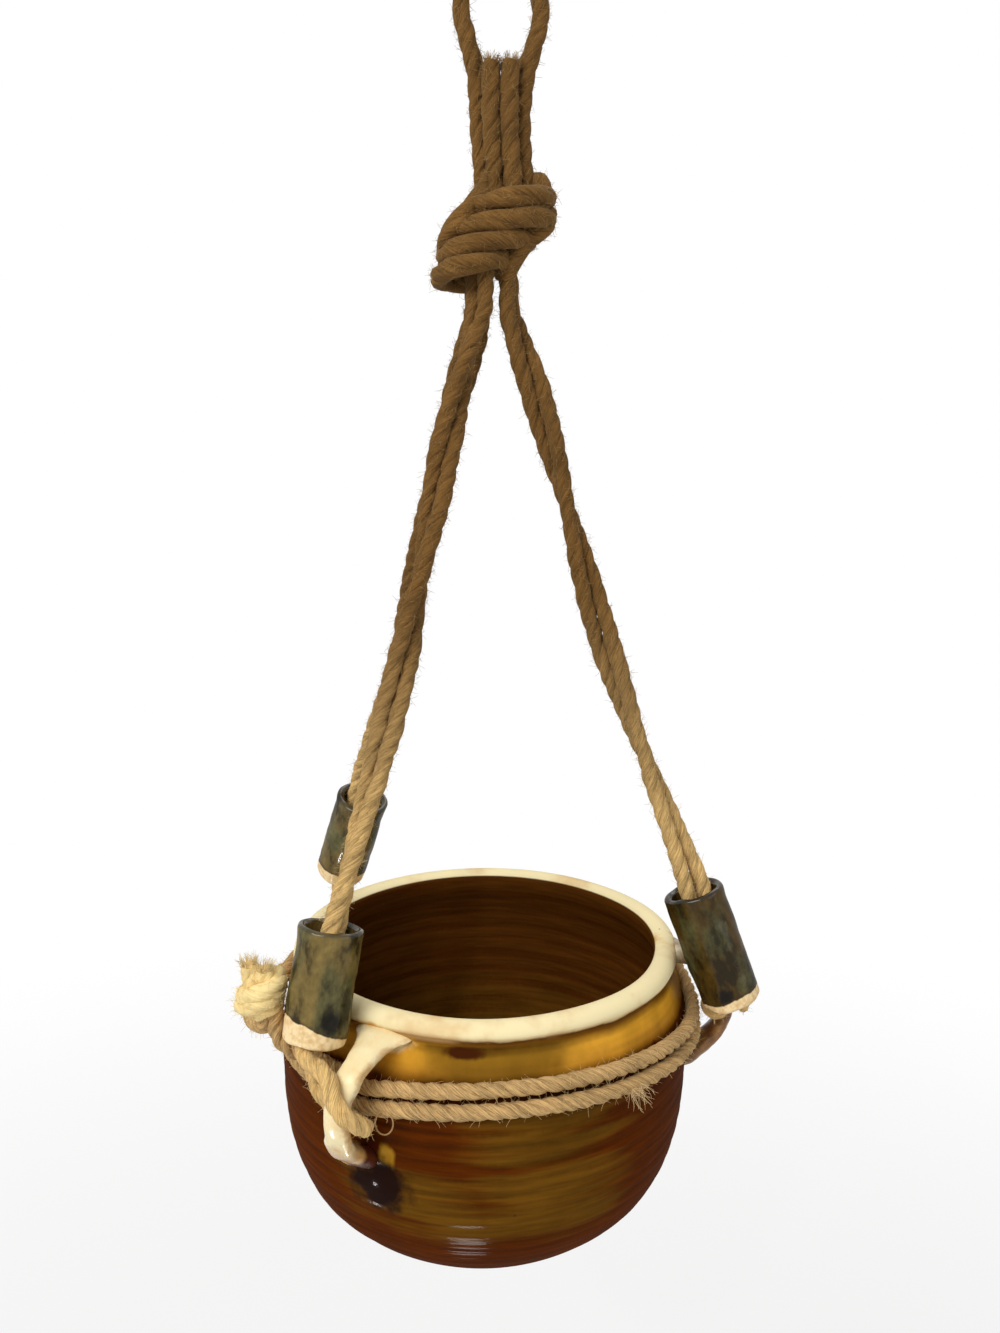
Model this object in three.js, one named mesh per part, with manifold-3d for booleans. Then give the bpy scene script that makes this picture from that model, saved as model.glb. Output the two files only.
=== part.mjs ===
// A hanging stoneware planter. A thrown bowl with a rolled rim carries three looped clay lugs. A doubled
// jute cord is hitched round each lug, runs up through a loose clay tube and meets the others in one
// overhand knot, above which it makes the hanging loop. A second cord girdles the shoulder through the lugs.
// Millimetres, +Z up, origin at the point of the hook inside the hanging loop; +Y points away from the
// side of the lug called front_left. A drop is a depth below the crest of the rim.
import * as THREE from "three";
import { mergeVertices } from "three/addons/utils/BufferGeometryUtils.js";
import Module from "manifold-3d";

const wasm = await Module();
wasm.setup();

// Driving dimensions: gaps and cord
const CLEARANCE = 0.3;
const CORD_DIAMETER = 5.5;
const CORD_SIDES = 8;

// Driving dimensions: the bowl
const RIM_BELOW_HOOK = 342;
const POT_HEIGHT = 107.5;
const BELLY_RADIUS = 77.5;
const BELLY_DROP = 32;
const BELLY_EXPONENT = 3.3;
const FOOT_RADIUS = 35;
const NECK_RADIUS = 71;
const NECK_DROP = 8.5;
const RIM_OVERHANG = 2;
const RIM_WIDTH = 8.6;
const RIM_HEIGHT = 7;
const WALL = 5.5;
const FLOOR = 7;
const POT_SEGMENTS = 48;

// Driving dimensions: the lugs
const LUG_TOP_DROP = 9.5;
const LUG_BOTTOM_DROP = 47.5;
const LUG_WIDTH = 8.5;
const LUG_THICKNESS = 5.5;
const LUG_BEND = 5.4;
const LUG_FLARE = 1.7;
const LUG_ROOT_DEPTH = 3.5;
const LUG_SIDES = 12;

// Driving dimensions: the three legs. The side says on which hand of its lug the cord comes down, lugDrop
// lowers a lug and girdleDip the girdle in it, the foot is where the cord enters the bottom of the tube, and
// tip says which way the loose tube tips against its cord: 1 for top inward, -1 for top outward.
const LEGS = [
  {
    name: "front_left",
    azimuth: 240.5,
    side: -1,
    lugDrop: 0,
    girdleDip: 0,
    footOut: 1.6,
    footDrop: 8,
    tubeLength: 37.5,
    tip: -1,
  },
  {
    name: "right",
    azimuth: -4.5,
    side: -1,
    lugDrop: -4,
    girdleDip: 2.5,
    footOut: 7,
    footDrop: 16,
    tubeLength: 44,
    tip: 0.6,
  },
  {
    name: "back_left",
    azimuth: 126,
    side: 1,
    lugDrop: 0,
    girdleDip: 0,
    footOut: 3.4,
    footDrop: 1,
    tubeLength: 42,
    tip: 1,
  },
];
const LEG_HEAD_RADIUS = 8;
const LEG_HEAD_RUN = 7;
const LEG_TURNS = 1.25;
const LEG_STEPS = 10;
const HITCH_DROP = 31;
const HITCH_EASE = 1;
const TUBE_PLAY = 2.1;
const TUBE_WALL = 2.75;
const TUBE_EDGE = 0.6;
const TUBE_SEGMENTS = 20;
const TUBE_LUG_GAP = 0.6;

// Driving dimensions: the girdle
const GIRDLE_TOP_DROP = 23;
const GIRDLE_RISE = 5.7;
const GIRDLE_CREST = 0.44;
const GIRDLE_GAP = 0.75;
const GIRDLE_STEPS = 40;
const GIRDLE_SIDES = 6;
const STOPPER_AZIMUTH = 220;
const STOPPER_OUT = 18;
const STOPPER_BOTTOM_DROP = 3;
const STOPPER_HEIGHT = 17;
const STOPPER_WIDTH = 18;
const STOPPER_END_SPACING = 7;

// Driving dimensions: the top knot, the hanging loop and the cut tails
const KNOT_TOP = -70;
const KNOT_BOTTOM = -104.5;
const KNOT_WIDTH = 46;
const KNOT_DEPTH = 38;
const KNOT_WRAPS = 3;
const KNOT_TILT_DEGREES = 30;
const KNOT_THROAT_RADIUS = 12;
const TAIL_LENGTH = 37;
const NECK_SHIFT = 3;

// Materials
const GLAZED_CLAY = new THREE.MeshStandardMaterial({ color: 0x6b4417, roughness: 0.28, metalness: 0 });
const CREAM_CLAY = new THREE.MeshStandardMaterial({ color: 0xf0dcb4, roughness: 0.35, metalness: 0 });
const TUBE_GLAZE = new THREE.MeshStandardMaterial({ color: 0x39402f, roughness: 0.25, metalness: 0 });
const JUTE = new THREE.MeshStandardMaterial({ color: 0x9a7848, roughness: 0.95, metalness: 0 });

const planter = new THREE.Group();
const radians = THREE.MathUtils.degToRad;

// Joins and cuts
function toSolid(geometry) {
  const bare = geometry.clone();
  bare.deleteAttribute("normal");
  bare.deleteAttribute("uv");
  const merged = mergeVertices(bare, 1e-4);
  const vertProperties = new Float32Array(merged.getAttribute("position").array);
  const triVerts = new Uint32Array(merged.index.array);
  return new wasm.Manifold(new wasm.Mesh({ numProp: 3, vertProperties, triVerts }));
}

function toGeometry(solid) {
  const mesh = solid.getMesh();
  const geometry = new THREE.BufferGeometry();
  geometry.setAttribute("position", new THREE.BufferAttribute(mesh.vertProperties, 3));
  geometry.setIndex(new THREE.BufferAttribute(mesh.triVerts, 1));
  geometry.computeVertexNormals();
  return geometry;
}

function joinAll(geometries) {
  const solids = geometries.map(toSolid);
  return toGeometry(solids.reduce((sum, solid) => sum.add(solid)));
}

function addPiece(name, geometry, material) {
  const mesh = new THREE.Mesh(geometry, material);
  mesh.name = name;
  planter.add(mesh);
  return mesh;
}

// A point by its radius, azimuth in degrees and drop below the rim's crest
function polar(radius, azimuth, drop) {
  const angle = radians(azimuth);
  return new THREE.Vector3(radius * Math.cos(angle), radius * Math.sin(angle), -RIM_BELOW_HOOK - drop);
}

// A curve that puts one ring of a tube at each route point, so that bends get more rings than straight runs
class Route extends THREE.CatmullRomCurve3 {
  constructor(points) {
    super(points, false, "centripetal");
  }
  getPointAt(position, target) {
    return this.getPoint(position, target);
  }
  getTangentAt(position, target) {
    return this.getTangent(position, target);
  }
  getSpacedPoints(count) {
    return this.getPoints(count);
  }
}

function cordAlong(points, sides = CORD_SIDES) {
  const section = new THREE.Shape();
  for (let i = 0; i < sides; i++) {
    const angle = (2 * Math.PI * i) / sides;
    const x = (CORD_DIAMETER / 2) * Math.cos(angle);
    const y = (CORD_DIAMETER / 2) * Math.sin(angle);
    if (i === 0) section.moveTo(x, y);
    else section.lineTo(x, y);
  }
  const extrudePath = new Route(points);
  return new THREE.ExtrudeGeometry(section, { steps: points.length - 1, extrudePath, bevelEnabled: false });
}

// A closed tube through rings of points, with flat ends
function skin(rings) {
  const sides = rings[0].length;
  const positions = rings.flat().flatMap((point) => point.toArray());
  const index = [];
  for (let ring = 0; ring + 1 < rings.length; ring++) {
    for (let i = 0; i < sides; i++) {
      const a = ring * sides + i;
      const b = ring * sides + ((i + 1) % sides);
      index.push(a, b, b + sides, a, b + sides, a + sides);
    }
  }
  const last = (rings.length - 1) * sides;
  for (let i = 1; i + 1 < sides; i++) {
    index.push(0, i + 1, i);
    index.push(last, last + i, last + i + 1);
  }
  const geometry = new THREE.BufferGeometry();
  geometry.setAttribute("position", new THREE.Float32BufferAttribute(positions, 3));
  geometry.setIndex(index);
  geometry.computeVertexNormals();
  return geometry;
}

// The bowl's outline: a belly that bends round to the foot, a shoulder drawn in to the neck, a rolled rim
function bellyPoints(radius, footRadius, bottomDrop) {
  const footShare = Math.pow(1 - Math.pow(footRadius / radius, BELLY_EXPONENT), 1 / BELLY_EXPONENT);
  const depth = (bottomDrop - BELLY_DROP) / footShare;
  const lastAngle = Math.asin(Math.pow(footShare, BELLY_EXPONENT / 2));
  const count = 9;
  const points = [];
  for (let i = 0; i <= count; i++) {
    const angle = (lastAngle * i) / count;
    const across = radius * Math.pow(Math.cos(angle), 2 / BELLY_EXPONENT);
    const down = BELLY_DROP + depth * Math.pow(Math.sin(angle), 2 / BELLY_EXPONENT);
    points.push(new THREE.Vector2(across, -down));
  }
  return points;
}

function shoulderPoints(neckRadius, bellyRadius) {
  const count = 5;
  const points = [];
  for (let i = 0; i < count; i++) {
    const share = i / count;
    const across = neckRadius + (bellyRadius - neckRadius) * Math.sin((Math.PI / 2) * share);
    points.push(new THREE.Vector2(across, -(NECK_DROP + (BELLY_DROP - NECK_DROP) * share)));
  }
  return points;
}

const rimMiddle = NECK_RADIUS + RIM_OVERHANG - RIM_WIDTH / 2;

function rimPoints(grow) {
  const points = [];
  for (let degrees = 180; degrees >= -30; degrees -= 30) {
    const angle = radians(degrees);
    const across = rimMiddle + (RIM_WIDTH / 2 + grow) * Math.cos(angle);
    points.push(new THREE.Vector2(across, (RIM_HEIGHT / 2 + grow) * Math.sin(angle) - RIM_HEIGHT / 2));
  }
  return points;
}

function outerWall(grow) {
  return [
    ...shoulderPoints(NECK_RADIUS + grow, BELLY_RADIUS + grow),
    ...bellyPoints(BELLY_RADIUS + grow, FOOT_RADIUS + grow, POT_HEIGHT + grow),
  ];
}

function turned(points) {
  const geometry = new THREE.LatheGeometry([...points].reverse(), POT_SEGMENTS);
  geometry.rotateX(Math.PI / 2);
  geometry.translate(0, 0, -RIM_BELOW_HOOK);
  return geometry;
}

function potGeometry() {
  const inside = [
    ...shoulderPoints(NECK_RADIUS - WALL, BELLY_RADIUS - WALL),
    ...bellyPoints(BELLY_RADIUS - WALL, FOOT_RADIUS - WALL, POT_HEIGHT - FLOOR),
  ];
  return turned([
    new THREE.Vector2(0, FLOOR - POT_HEIGHT),
    ...inside.reverse(),
    ...rimPoints(0),
    ...outerWall(0),
    new THREE.Vector2(0, -POT_HEIGHT),
  ]);
}

// The bowl's outside as one full solid, grown by the clearance, which trims what is luted to it
function potTrimmer() {
  const crest = new THREE.Vector2(0, CLEARANCE);
  const overRim = rimPoints(CLEARANCE).filter((point) => point.x >= rimMiddle);
  const foot = new THREE.Vector2(0, -POT_HEIGHT - CLEARANCE);
  return toSolid(turned([crest, ...overRim, ...outerWall(CLEARANCE), foot]));
}

// The bowl's outer radius at a drop between the neck and the belly
function wallRadius(drop) {
  const share = THREE.MathUtils.clamp((drop - NECK_DROP) / (BELLY_DROP - NECK_DROP), 0, 1);
  return NECK_RADIUS + (BELLY_RADIUS - NECK_RADIUS) * Math.sin((Math.PI / 2) * share);
}

// Where the cords and lugs stand off the wall, from the inside out
const girdleStandoff = CLEARANCE + CORD_DIAMETER / 2;
const girdleRadius = (drop) => (wallRadius(drop) + girdleStandoff) / Math.cos(Math.PI / GIRDLE_STEPS);
const hitchRadius = girdleRadius(BELLY_DROP) + CORD_DIAMETER + CLEARANCE;
const strapRadius = hitchRadius + CORD_DIAMETER / 2 + CLEARANCE + LUG_THICKNESS / 2;
const pairSpacing = (CORD_DIAMETER + CLEARANCE) / Math.cos((Math.PI * LEG_TURNS) / LEG_STEPS);
const pairRadius = (pairSpacing + CORD_DIAMETER) / 2;
const tubeInner = pairRadius + TUBE_PLAY;
const tubeOuter = tubeInner + TUBE_WALL;
const rimRadius = NECK_RADIUS + RIM_OVERHANG;
const legSlope = (rimRadius + tubeOuter) / (RIM_BELOW_HOOK + KNOT_BOTTOM);

// A lug: a strap of clay bent into an ear, wider where it is pressed onto the neck and the belly
function strapStations(leg) {
  const top = LUG_TOP_DROP + leg.lugDrop;
  const bottom = LUG_BOTTOM_DROP + leg.lugDrop;
  const middle = (top + bottom) / 2;
  const half = (bottom - top) / 2;
  const reach = strapRadius - BELLY_RADIUS;
  return [
    { across: NECK_RADIUS - LUG_ROOT_DEPTH, drop: top, flare: LUG_FLARE },
    { across: BELLY_RADIUS - 0.2 * LUG_BEND, drop: top + 0.06 * LUG_BEND, flare: (1 + LUG_FLARE) / 2 },
    { across: BELLY_RADIUS + 0.4 * reach, drop: top + 0.3 * LUG_BEND, flare: 1 },
    { across: BELLY_RADIUS + 0.8 * reach, drop: top + LUG_BEND, flare: 1 },
    { across: strapRadius, drop: middle - 0.3 * half, flare: 1 },
    { across: strapRadius, drop: middle + 0.2 * half, flare: 1 },
    { across: BELLY_RADIUS + 0.72 * reach, drop: bottom - 1.2 * LUG_BEND, flare: 1 },
    { across: BELLY_RADIUS + 0.2 * reach, drop: bottom - 0.3 * LUG_BEND, flare: (1 + LUG_FLARE) / 2 },
    { across: BELLY_RADIUS - 2 * LUG_ROOT_DEPTH, drop: bottom, flare: LUG_FLARE },
  ];
}

function lugGeometry(leg, trimmer) {
  const sideways = polar(1, leg.azimuth + 90, 0).setZ(0);
  const stations = strapStations(leg);
  const centres = stations.map((station) => polar(station.across, leg.azimuth, station.drop));
  const spine = new Route(centres);
  const between = 2;
  const count = (stations.length - 1) * between;
  const rings = [];
  for (let i = 0; i <= count; i++) {
    const along = i / between;
    const low = Math.min(Math.floor(along), stations.length - 2);
    const flare = THREE.MathUtils.lerp(stations[low].flare, stations[low + 1].flare, along - low);
    const centre = spine.getPoint(i / count);
    const normal = new THREE.Vector3().crossVectors(spine.getTangent(i / count), sideways);
    const ring = [];
    for (let k = 0; k < LUG_SIDES; k++) {
      const angle = (2 * Math.PI * (k + 0.5)) / LUG_SIDES;
      const square = (value) => Math.sign(value) * Math.pow(Math.abs(value), 0.6);
      const across = (LUG_WIDTH / 2) * flare * square(Math.cos(angle));
      const through = (LUG_THICKNESS / 2) * square(Math.sin(angle));
      ring.push(centre.clone().addScaledVector(sideways, across).addScaledVector(normal, through));
    }
    rings.push(ring);
  }
  return toGeometry(toSolid(skin(rings)).subtract(trimmer));
}

// How far the rim, which the leg leans over, pushes a tube out beyond the place that its lug gives it
function rimPush(leg) {
  const leanOverRim = legSlope * (leg.footDrop - RIM_HEIGHT / 2);
  const clearOfRim = rimRadius + CLEARANCE + tubeOuter + TUBE_PLAY + leanOverRim;
  return Math.max(0, clearOfRim - hitchRadius - leg.footOut);
}

// A leg's straight line from the tube's foot to the knot, with the directions across it. The tube hangs
// beside the strap of its lug.
function legLine(leg) {
  const footRadius = hitchRadius + leg.footOut + rimPush(leg);
  const offset = Math.asin((tubeOuter + LUG_WIDTH / 2 + TUBE_LUG_GAP) / footRadius);
  const azimuth = leg.azimuth + leg.side * THREE.MathUtils.radToDeg(offset);
  const foot = polar(footRadius, azimuth, leg.footDrop);
  const head = polar(LEG_HEAD_RADIUS, azimuth, 0).setZ(KNOT_BOTTOM - LEG_HEAD_RUN);
  const up = head.clone().sub(foot);
  const length = up.length();
  up.normalize();
  const sideways = polar(1, azimuth + 90, 0).setZ(0);
  const outward = new THREE.Vector3().crossVectors(sideways, up);
  return { foot, up, length, sideways, outward };
}

// The hitch round a lug, through the eye under the strap and back over the outer face: share of the way out
// from the eye to the outer face, share of the way sideways to the near hand, drop from the hitch's middle
const HITCH = [
  [0, 0.6, -1.5],
  [0, 0, 0],
  [0, -0.6, 0.5],
  [0.15, -0.97, 0.2],
  [0.5, -1.04, -0.6],
  [0.83, -0.85, -1.8],
  [1, -0.3, -3.2],
  [1, 0.3, -4.8],
];
const hitchOut = strapRadius - hitchRadius + (LUG_THICKNESS + CORD_DIAMETER + HITCH_EASE) / 2 + CLEARANCE;
const hitchAside = LUG_WIDTH / 2 + CLEARANCE + CORD_DIAMETER / 2 + HITCH_EASE;

function hitchPoints(leg) {
  const radial = polar(1, leg.azimuth, 0).setZ(0);
  const tangent = polar(1, leg.azimuth + 90, 0).setZ(0);
  return HITCH.map(([out, near, drop]) => {
    const point = polar(hitchRadius, leg.azimuth, HITCH_DROP + leg.lugDrop + drop);
    point.addScaledVector(radial, hitchOut * out);
    return point.addScaledVector(tangent, leg.side * hitchAside * near);
  });
}

// Points on the bend between a strand that leaves a place one way and reaches another place another way
function bendPoints(from, leaving, to, arriving) {
  const reach = 0.42 * from.distanceTo(to);
  const first = from.clone().addScaledVector(leaving, reach);
  const second = to.clone().addScaledVector(arriving, -reach);
  const bend = new THREE.CubicBezierCurve3(from, first, second, to);
  return [0.2, 0.4, 0.6, 0.8].map((share) => bend.getPoint(share));
}

function strandPoints(leg, sign) {
  const { foot, up, length, sideways, outward } = legLine(leg);
  const points = [];
  for (let i = 0; i <= LEG_STEPS; i++) {
    const turn = 2 * Math.PI * LEG_TURNS * (i / LEG_STEPS);
    const point = foot.clone().addScaledVector(up, (length * i) / LEG_STEPS);
    point.addScaledVector(outward, sign * (pairSpacing / 2) * Math.cos(turn));
    point.addScaledVector(sideways, sign * (pairSpacing / 2) * Math.sin(turn));
    points.push(point);
  }
  points.push(points[LEG_STEPS].clone().setZ(KNOT_BOTTOM - CLEARANCE));
  return points;
}

function legCordPoints(leg) {
  const { up } = legLine(leg);
  const down = up.clone().negate();
  const inner = strandPoints(leg, -1);
  const outer = strandPoints(leg, 1);
  const hitch = hitchPoints(leg);
  const entering = hitch[1].clone().sub(hitch[0]).normalize();
  const leaving = hitch.at(-1).clone().sub(hitch.at(-2)).normalize();
  return [
    ...inner.toReversed(),
    ...bendPoints(inner[0], down, hitch[0], entering),
    ...hitch,
    ...bendPoints(hitch.at(-1), leaving, outer[0], up),
    ...outer,
  ];
}

// A clay tube, hung loosely on its leg and tipped as far as its bore lets it
function tubeGeometry(leg) {
  const { foot, up, sideways } = legLine(leg);
  const top = leg.tubeLength;
  const outline = [
    [tubeInner, TUBE_EDGE],
    [tubeInner + TUBE_EDGE, 0],
    [tubeOuter - TUBE_EDGE, 0],
    [tubeOuter, TUBE_EDGE],
    [tubeOuter, top - TUBE_EDGE],
    [tubeOuter - TUBE_EDGE, top],
    [tubeInner + TUBE_EDGE, top],
    [tubeInner, top - TUBE_EDGE],
    [tubeInner, TUBE_EDGE],
  ];
  const points = outline.map(([across, height]) => new THREE.Vector2(across, height - top / 2));
  const geometry = new THREE.LatheGeometry(points, TUBE_SEGMENTS);
  const boreFlat = tubeInner * Math.cos(Math.PI / TUBE_SEGMENTS);
  const tip = Math.asin((boreFlat - pairRadius - CLEARANCE) / (top / 2));
  const turn = new THREE.Quaternion().setFromUnitVectors(new THREE.Vector3(0, 1, 0), up);
  const lean = new THREE.Quaternion().setFromAxisAngle(sideways, -tip * leg.tip);
  geometry.applyQuaternion(turn.premultiply(lean));
  const middle = foot.clone().addScaledVector(up, top / 2);
  return geometry.translate(middle.x, middle.y, middle.z);
}

// The girdle: from the stopper knot into the front left lug's eye, twice round the bowl, and out again
const girdleLowDrop = GIRDLE_TOP_DROP + CORD_DIAMETER + GIRDLE_GAP;
const stopperRadius = BELLY_RADIUS + STOPPER_OUT + rimPush(LEGS[0]);

// Azimuth, distance out from the wall-hugging girdle, drop
const GIRDLE_START = [
  [223.2, 14.2, 12.8],
  [224.4, 8.4, 17],
  [226.2, 3, 19.6],
  [229.5, 0, 21.2],
];
const GIRDLE_END = [
  [150, 2.6, 28.6],
  [158.5, 6.2, 29],
  [168, 7.6, 27.6],
  [178, 8.4, 25.2],
  [188, 9.4, 22.2],
  [198, 11.2, 18.8],
  [206.5, 13.8, 15.2],
  [213, 16.2, 12.2],
];
const GIRDLE_DESCENT = { from: 31, to: 37 };
const GIRDLE_LAST_STEP = 69;

// How far the girdle lies below its top level at an azimuth: the lugs hold it down, and between them it
// climbs the shoulder
function girdleDip(azimuth) {
  const around = (angle) => THREE.MathUtils.euclideanModulo(angle, 360);
  const behindBy = (leg) => around(azimuth - leg.azimuth);
  const aheadBy = (leg) => around(leg.azimuth - azimuth);
  const nearest = (distance) => LEGS.reduce((best, leg) => (distance(leg) < distance(best) ? leg : best));
  const behind = nearest(behindBy);
  const ahead = nearest(aheadBy);
  const share = behindBy(behind) / Math.max(behindBy(behind) + aheadBy(ahead), 1);
  const climb = Math.sin(Math.PI * Math.pow(share, Math.log(0.5) / Math.log(GIRDLE_CREST)));
  return THREE.MathUtils.lerp(behind.girdleDip, ahead.girdleDip, share) - GIRDLE_RISE * climb;
}

// The last straight stretch of an end of the girdle, square to the underside of the stopper knot
function girdleEndPoints(hand) {
  const aside = polar(1, STOPPER_AZIMUTH + 90, 0).setZ(0);
  const drops = [STOPPER_BOTTOM_DROP + CLEARANCE, STOPPER_BOTTOM_DROP + CLEARANCE + CORD_DIAMETER];
  return drops.map((drop) => {
    const point = polar(stopperRadius - STOPPER_END_SPACING / 2, STOPPER_AZIMUTH, drop);
    return point.addScaledVector(aside, (hand * STOPPER_END_SPACING) / 2);
  });
}

function girdlePoints() {
  const place = ([azimuth, out, drop]) => polar(girdleRadius(drop) + out, azimuth, drop);
  const turns = [];
  for (let i = 0; i <= GIRDLE_LAST_STEP; i++) {
    const azimuth = LEGS[0].azimuth + (360 * i) / GIRDLE_STEPS;
    const share = THREE.MathUtils.smoothstep(i, GIRDLE_DESCENT.from, GIRDLE_DESCENT.to);
    const level = THREE.MathUtils.lerp(GIRDLE_TOP_DROP, girdleLowDrop, share);
    turns.push(place([azimuth, 0, level + girdleDip(azimuth)]));
  }
  const start = [...girdleEndPoints(1), ...GIRDLE_START.map(place)];
  const end = [...GIRDLE_END.map(place), ...girdleEndPoints(-1).reverse()];
  return [...start, ...turns, ...end];
}

// The least gap between stretches of a wound cord that are more than a few diameters apart along it
function leastSelfGap(points) {
  const samples = new Route(points).getPoints(points.length * 6);
  const along = [0];
  for (let i = 1; i < samples.length; i++) along.push(along[i - 1] + samples[i].distanceTo(samples[i - 1]));
  let least = Infinity;
  for (let i = 0; i < samples.length; i++) {
    for (let k = i + 1; k < samples.length; k++) {
      if (along[k] - along[i] < 4 * CORD_DIAMETER) continue;
      least = Math.min(least, samples[i].distanceTo(samples[k]) - CORD_DIAMETER);
    }
  }
  return least;
}

// The stopper knot that ties the girdle's two ends, with the frayed tips standing out of it
function stopperGeometry() {
  const radius = STOPPER_WIDTH / 2;
  const turn = 0.36 * STOPPER_WIDTH;
  const core = new THREE.CylinderGeometry(0.62 * radius, 0.89 * radius, STOPPER_HEIGHT, 12);
  core.rotateX(Math.PI / 2);
  const parts = [core];
  for (const [height, tilt] of [[-0.2, 18], [0.16, -20]]) {
    const ring = new THREE.TorusGeometry(radius - turn / 2, turn / 2, 8, 18);
    ring.rotateY(radians(tilt));
    ring.translate(0, 0, height * STOPPER_HEIGHT);
    parts.push(ring);
  }
  const tipLength = 0.5 * STOPPER_HEIGHT;
  for (const [azimuth, splay] of [[200, 24], [320, 14], [80, 18]]) {
    const tip = new THREE.CylinderGeometry(0.22 * CORD_DIAMETER, 0.5 * CORD_DIAMETER, tipLength, 8);
    tip.rotateX(Math.PI / 2);
    tip.translate(0, 0, tipLength / 2);
    tip.rotateY(radians(splay));
    tip.rotateZ(radians(azimuth));
    tip.translate(0, 0, STOPPER_HEIGHT * 0.4);
    parts.push(tip);
  }
  const geometry = joinAll(parts);
  const middleDrop = STOPPER_BOTTOM_DROP - STOPPER_HEIGHT / 2;
  const place = polar(stopperRadius, STOPPER_AZIMUTH, middleDrop);
  return geometry.translate(place.x, place.y, place.z);
}

// The overhand knot: the bundle of strands as a leaning throat, with the wraps lying slantwise round it
function knotGeometry() {
  const height = KNOT_TOP - KNOT_BOTTOM;
  const throat = new THREE.CylinderGeometry(KNOT_THROAT_RADIUS, KNOT_THROAT_RADIUS, height, 20);
  throat.rotateX(Math.PI / 2);
  throat.applyMatrix4(new THREE.Matrix4().makeShear(0, 0, 0, 0, NECK_SHIFT / (height / 2), 0));
  const wrapRadius = 0.6 * CORD_DIAMETER;
  const coreRadius = KNOT_WIDTH / 2 - wrapRadius;
  const core = new THREE.CylinderGeometry(coreRadius, coreRadius, (KNOT_WRAPS - 1) * CORD_DIAMETER, 20);
  core.rotateX(Math.PI / 2);
  const wraps = [core];
  for (let i = 0; i < KNOT_WRAPS; i++) {
    const place = i - (KNOT_WRAPS - 1) / 2;
    const swell = 1 - 0.045 * place * place;
    const wrap = new THREE.TorusGeometry((KNOT_WIDTH / 2) * swell - wrapRadius, wrapRadius, 8, 24);
    wrap.translate(0, 0, place * CORD_DIAMETER);
    wraps.push(wrap);
  }
  for (const wrap of wraps) {
    wrap.scale(1, KNOT_DEPTH / KNOT_WIDTH, 1);
    wrap.rotateY(-radians(KNOT_TILT_DEGREES));
  }
  const geometry = joinAll([throat, ...wraps]);
  return geometry.translate(0, 0, (KNOT_TOP + KNOT_BOTTOM) / 2);
}

// One side of each hanging loop, from the knot up to the crown: distance from the middle, shift of the
// middle, depth, height. Where the strands lie packed in the neck, they are spaced by their own diameter.
const apex = CORD_DIAMETER / 2;
const neckBottom = KNOT_TOP + CLEARANCE;
const neckSquare = neckBottom + CORD_DIAMETER;
const neckHalf = CORD_DIAMETER / 2 + CLEARANCE;
const neckFlank = 1.34 * CORD_DIAMETER;
const neckFront = -0.84 * CORD_DIAMETER;
const neckBack = 0.8 * CORD_DIAMETER;
const LOOP_SIDES = {
  loop_strand_front: [
    [neckFlank, NECK_SHIFT, -0.5, neckBottom],
    [neckFlank, NECK_SHIFT, -0.5, neckSquare],
    [7.6, NECK_SHIFT, -0.6, -50],
    [8.6, 3.2, -1.6, -37],
    [11.4, 3.4, -2.8, -25],
    [13.4, 3, -3, -15],
    [11.8, 2, -3, -6],
    [6.6, 0.8, -3, 0.6],
    [0, 0, -3, apex],
  ],
  loop_strand_back: [
    [neckHalf, NECK_SHIFT, neckBack, neckBottom],
    [neckHalf, NECK_SHIFT, neckBack, neckSquare],
    [3.3, NECK_SHIFT, neckBack, -50],
    [6.2, 3.2, neckBack, -37],
    [10.8, 3.4, 3.4, -25],
    [13.3, 3, 3, -15],
    [11.7, 2, 3, -6],
    [6.6, 0.8, 3, 0.6],
    [0, 0, 3, apex],
  ],
};

function loopPoints(side) {
  const left = side.map(([x, shift, y, z]) => new THREE.Vector3(shift - x, y, z));
  const right = side.map(([x, shift, y, z]) => new THREE.Vector3(shift + x, y, z));
  right.pop();
  return [...left, ...right.reverse()];
}

// A cut tail of the cord, standing up in front of the neck
function tailPoints(hand) {
  const lean = 0.15 * CORD_DIAMETER;
  return [0, 0.35, 0.7, 1].map((share) => {
    const z = neckBottom + TAIL_LENGTH * share;
    return new THREE.Vector3(NECK_SHIFT + hand * neckHalf, neckFront - lean * share, z);
  });
}

// Assembly
addPiece("pot_body", potGeometry(), GLAZED_CLAY);
const trimmer = potTrimmer();
for (const leg of LEGS) {
  addPiece("lug_" + leg.name, lugGeometry(leg, trimmer), CREAM_CLAY);
  addPiece("tube_" + leg.name, tubeGeometry(leg), TUBE_GLAZE);
  addPiece("leg_cord_" + leg.name, cordAlong(legCordPoints(leg)), JUTE);
}
const girdle = girdlePoints();
addPiece("girdle_cord", cordAlong(girdle, GIRDLE_SIDES), JUTE);
console.log("girdle_cord least gap to itself: " + leastSelfGap(girdle).toFixed(2) + " mm");
addPiece("girdle_knot", stopperGeometry(), JUTE);
addPiece("top_knot", knotGeometry(), JUTE);
for (const [name, side] of Object.entries(LOOP_SIDES)) addPiece(name, cordAlong(loopPoints(side)), JUTE);
addPiece("cord_tail_left", cordAlong(tailPoints(-1)), JUTE);
addPiece("cord_tail_right", cordAlong(tailPoints(1)), JUTE);

export default planter;
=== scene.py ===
"""A hanging stoneware planter: its twisted jute, its knots, its thrown bowl, its lugs and its clay tubes."""
import math
from functools import partial

import bpy
import numpy as np
from bpy.props import FloatProperty, FloatVectorProperty, IntProperty, PointerProperty
from mathutils import Matrix, Vector, noise


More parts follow.
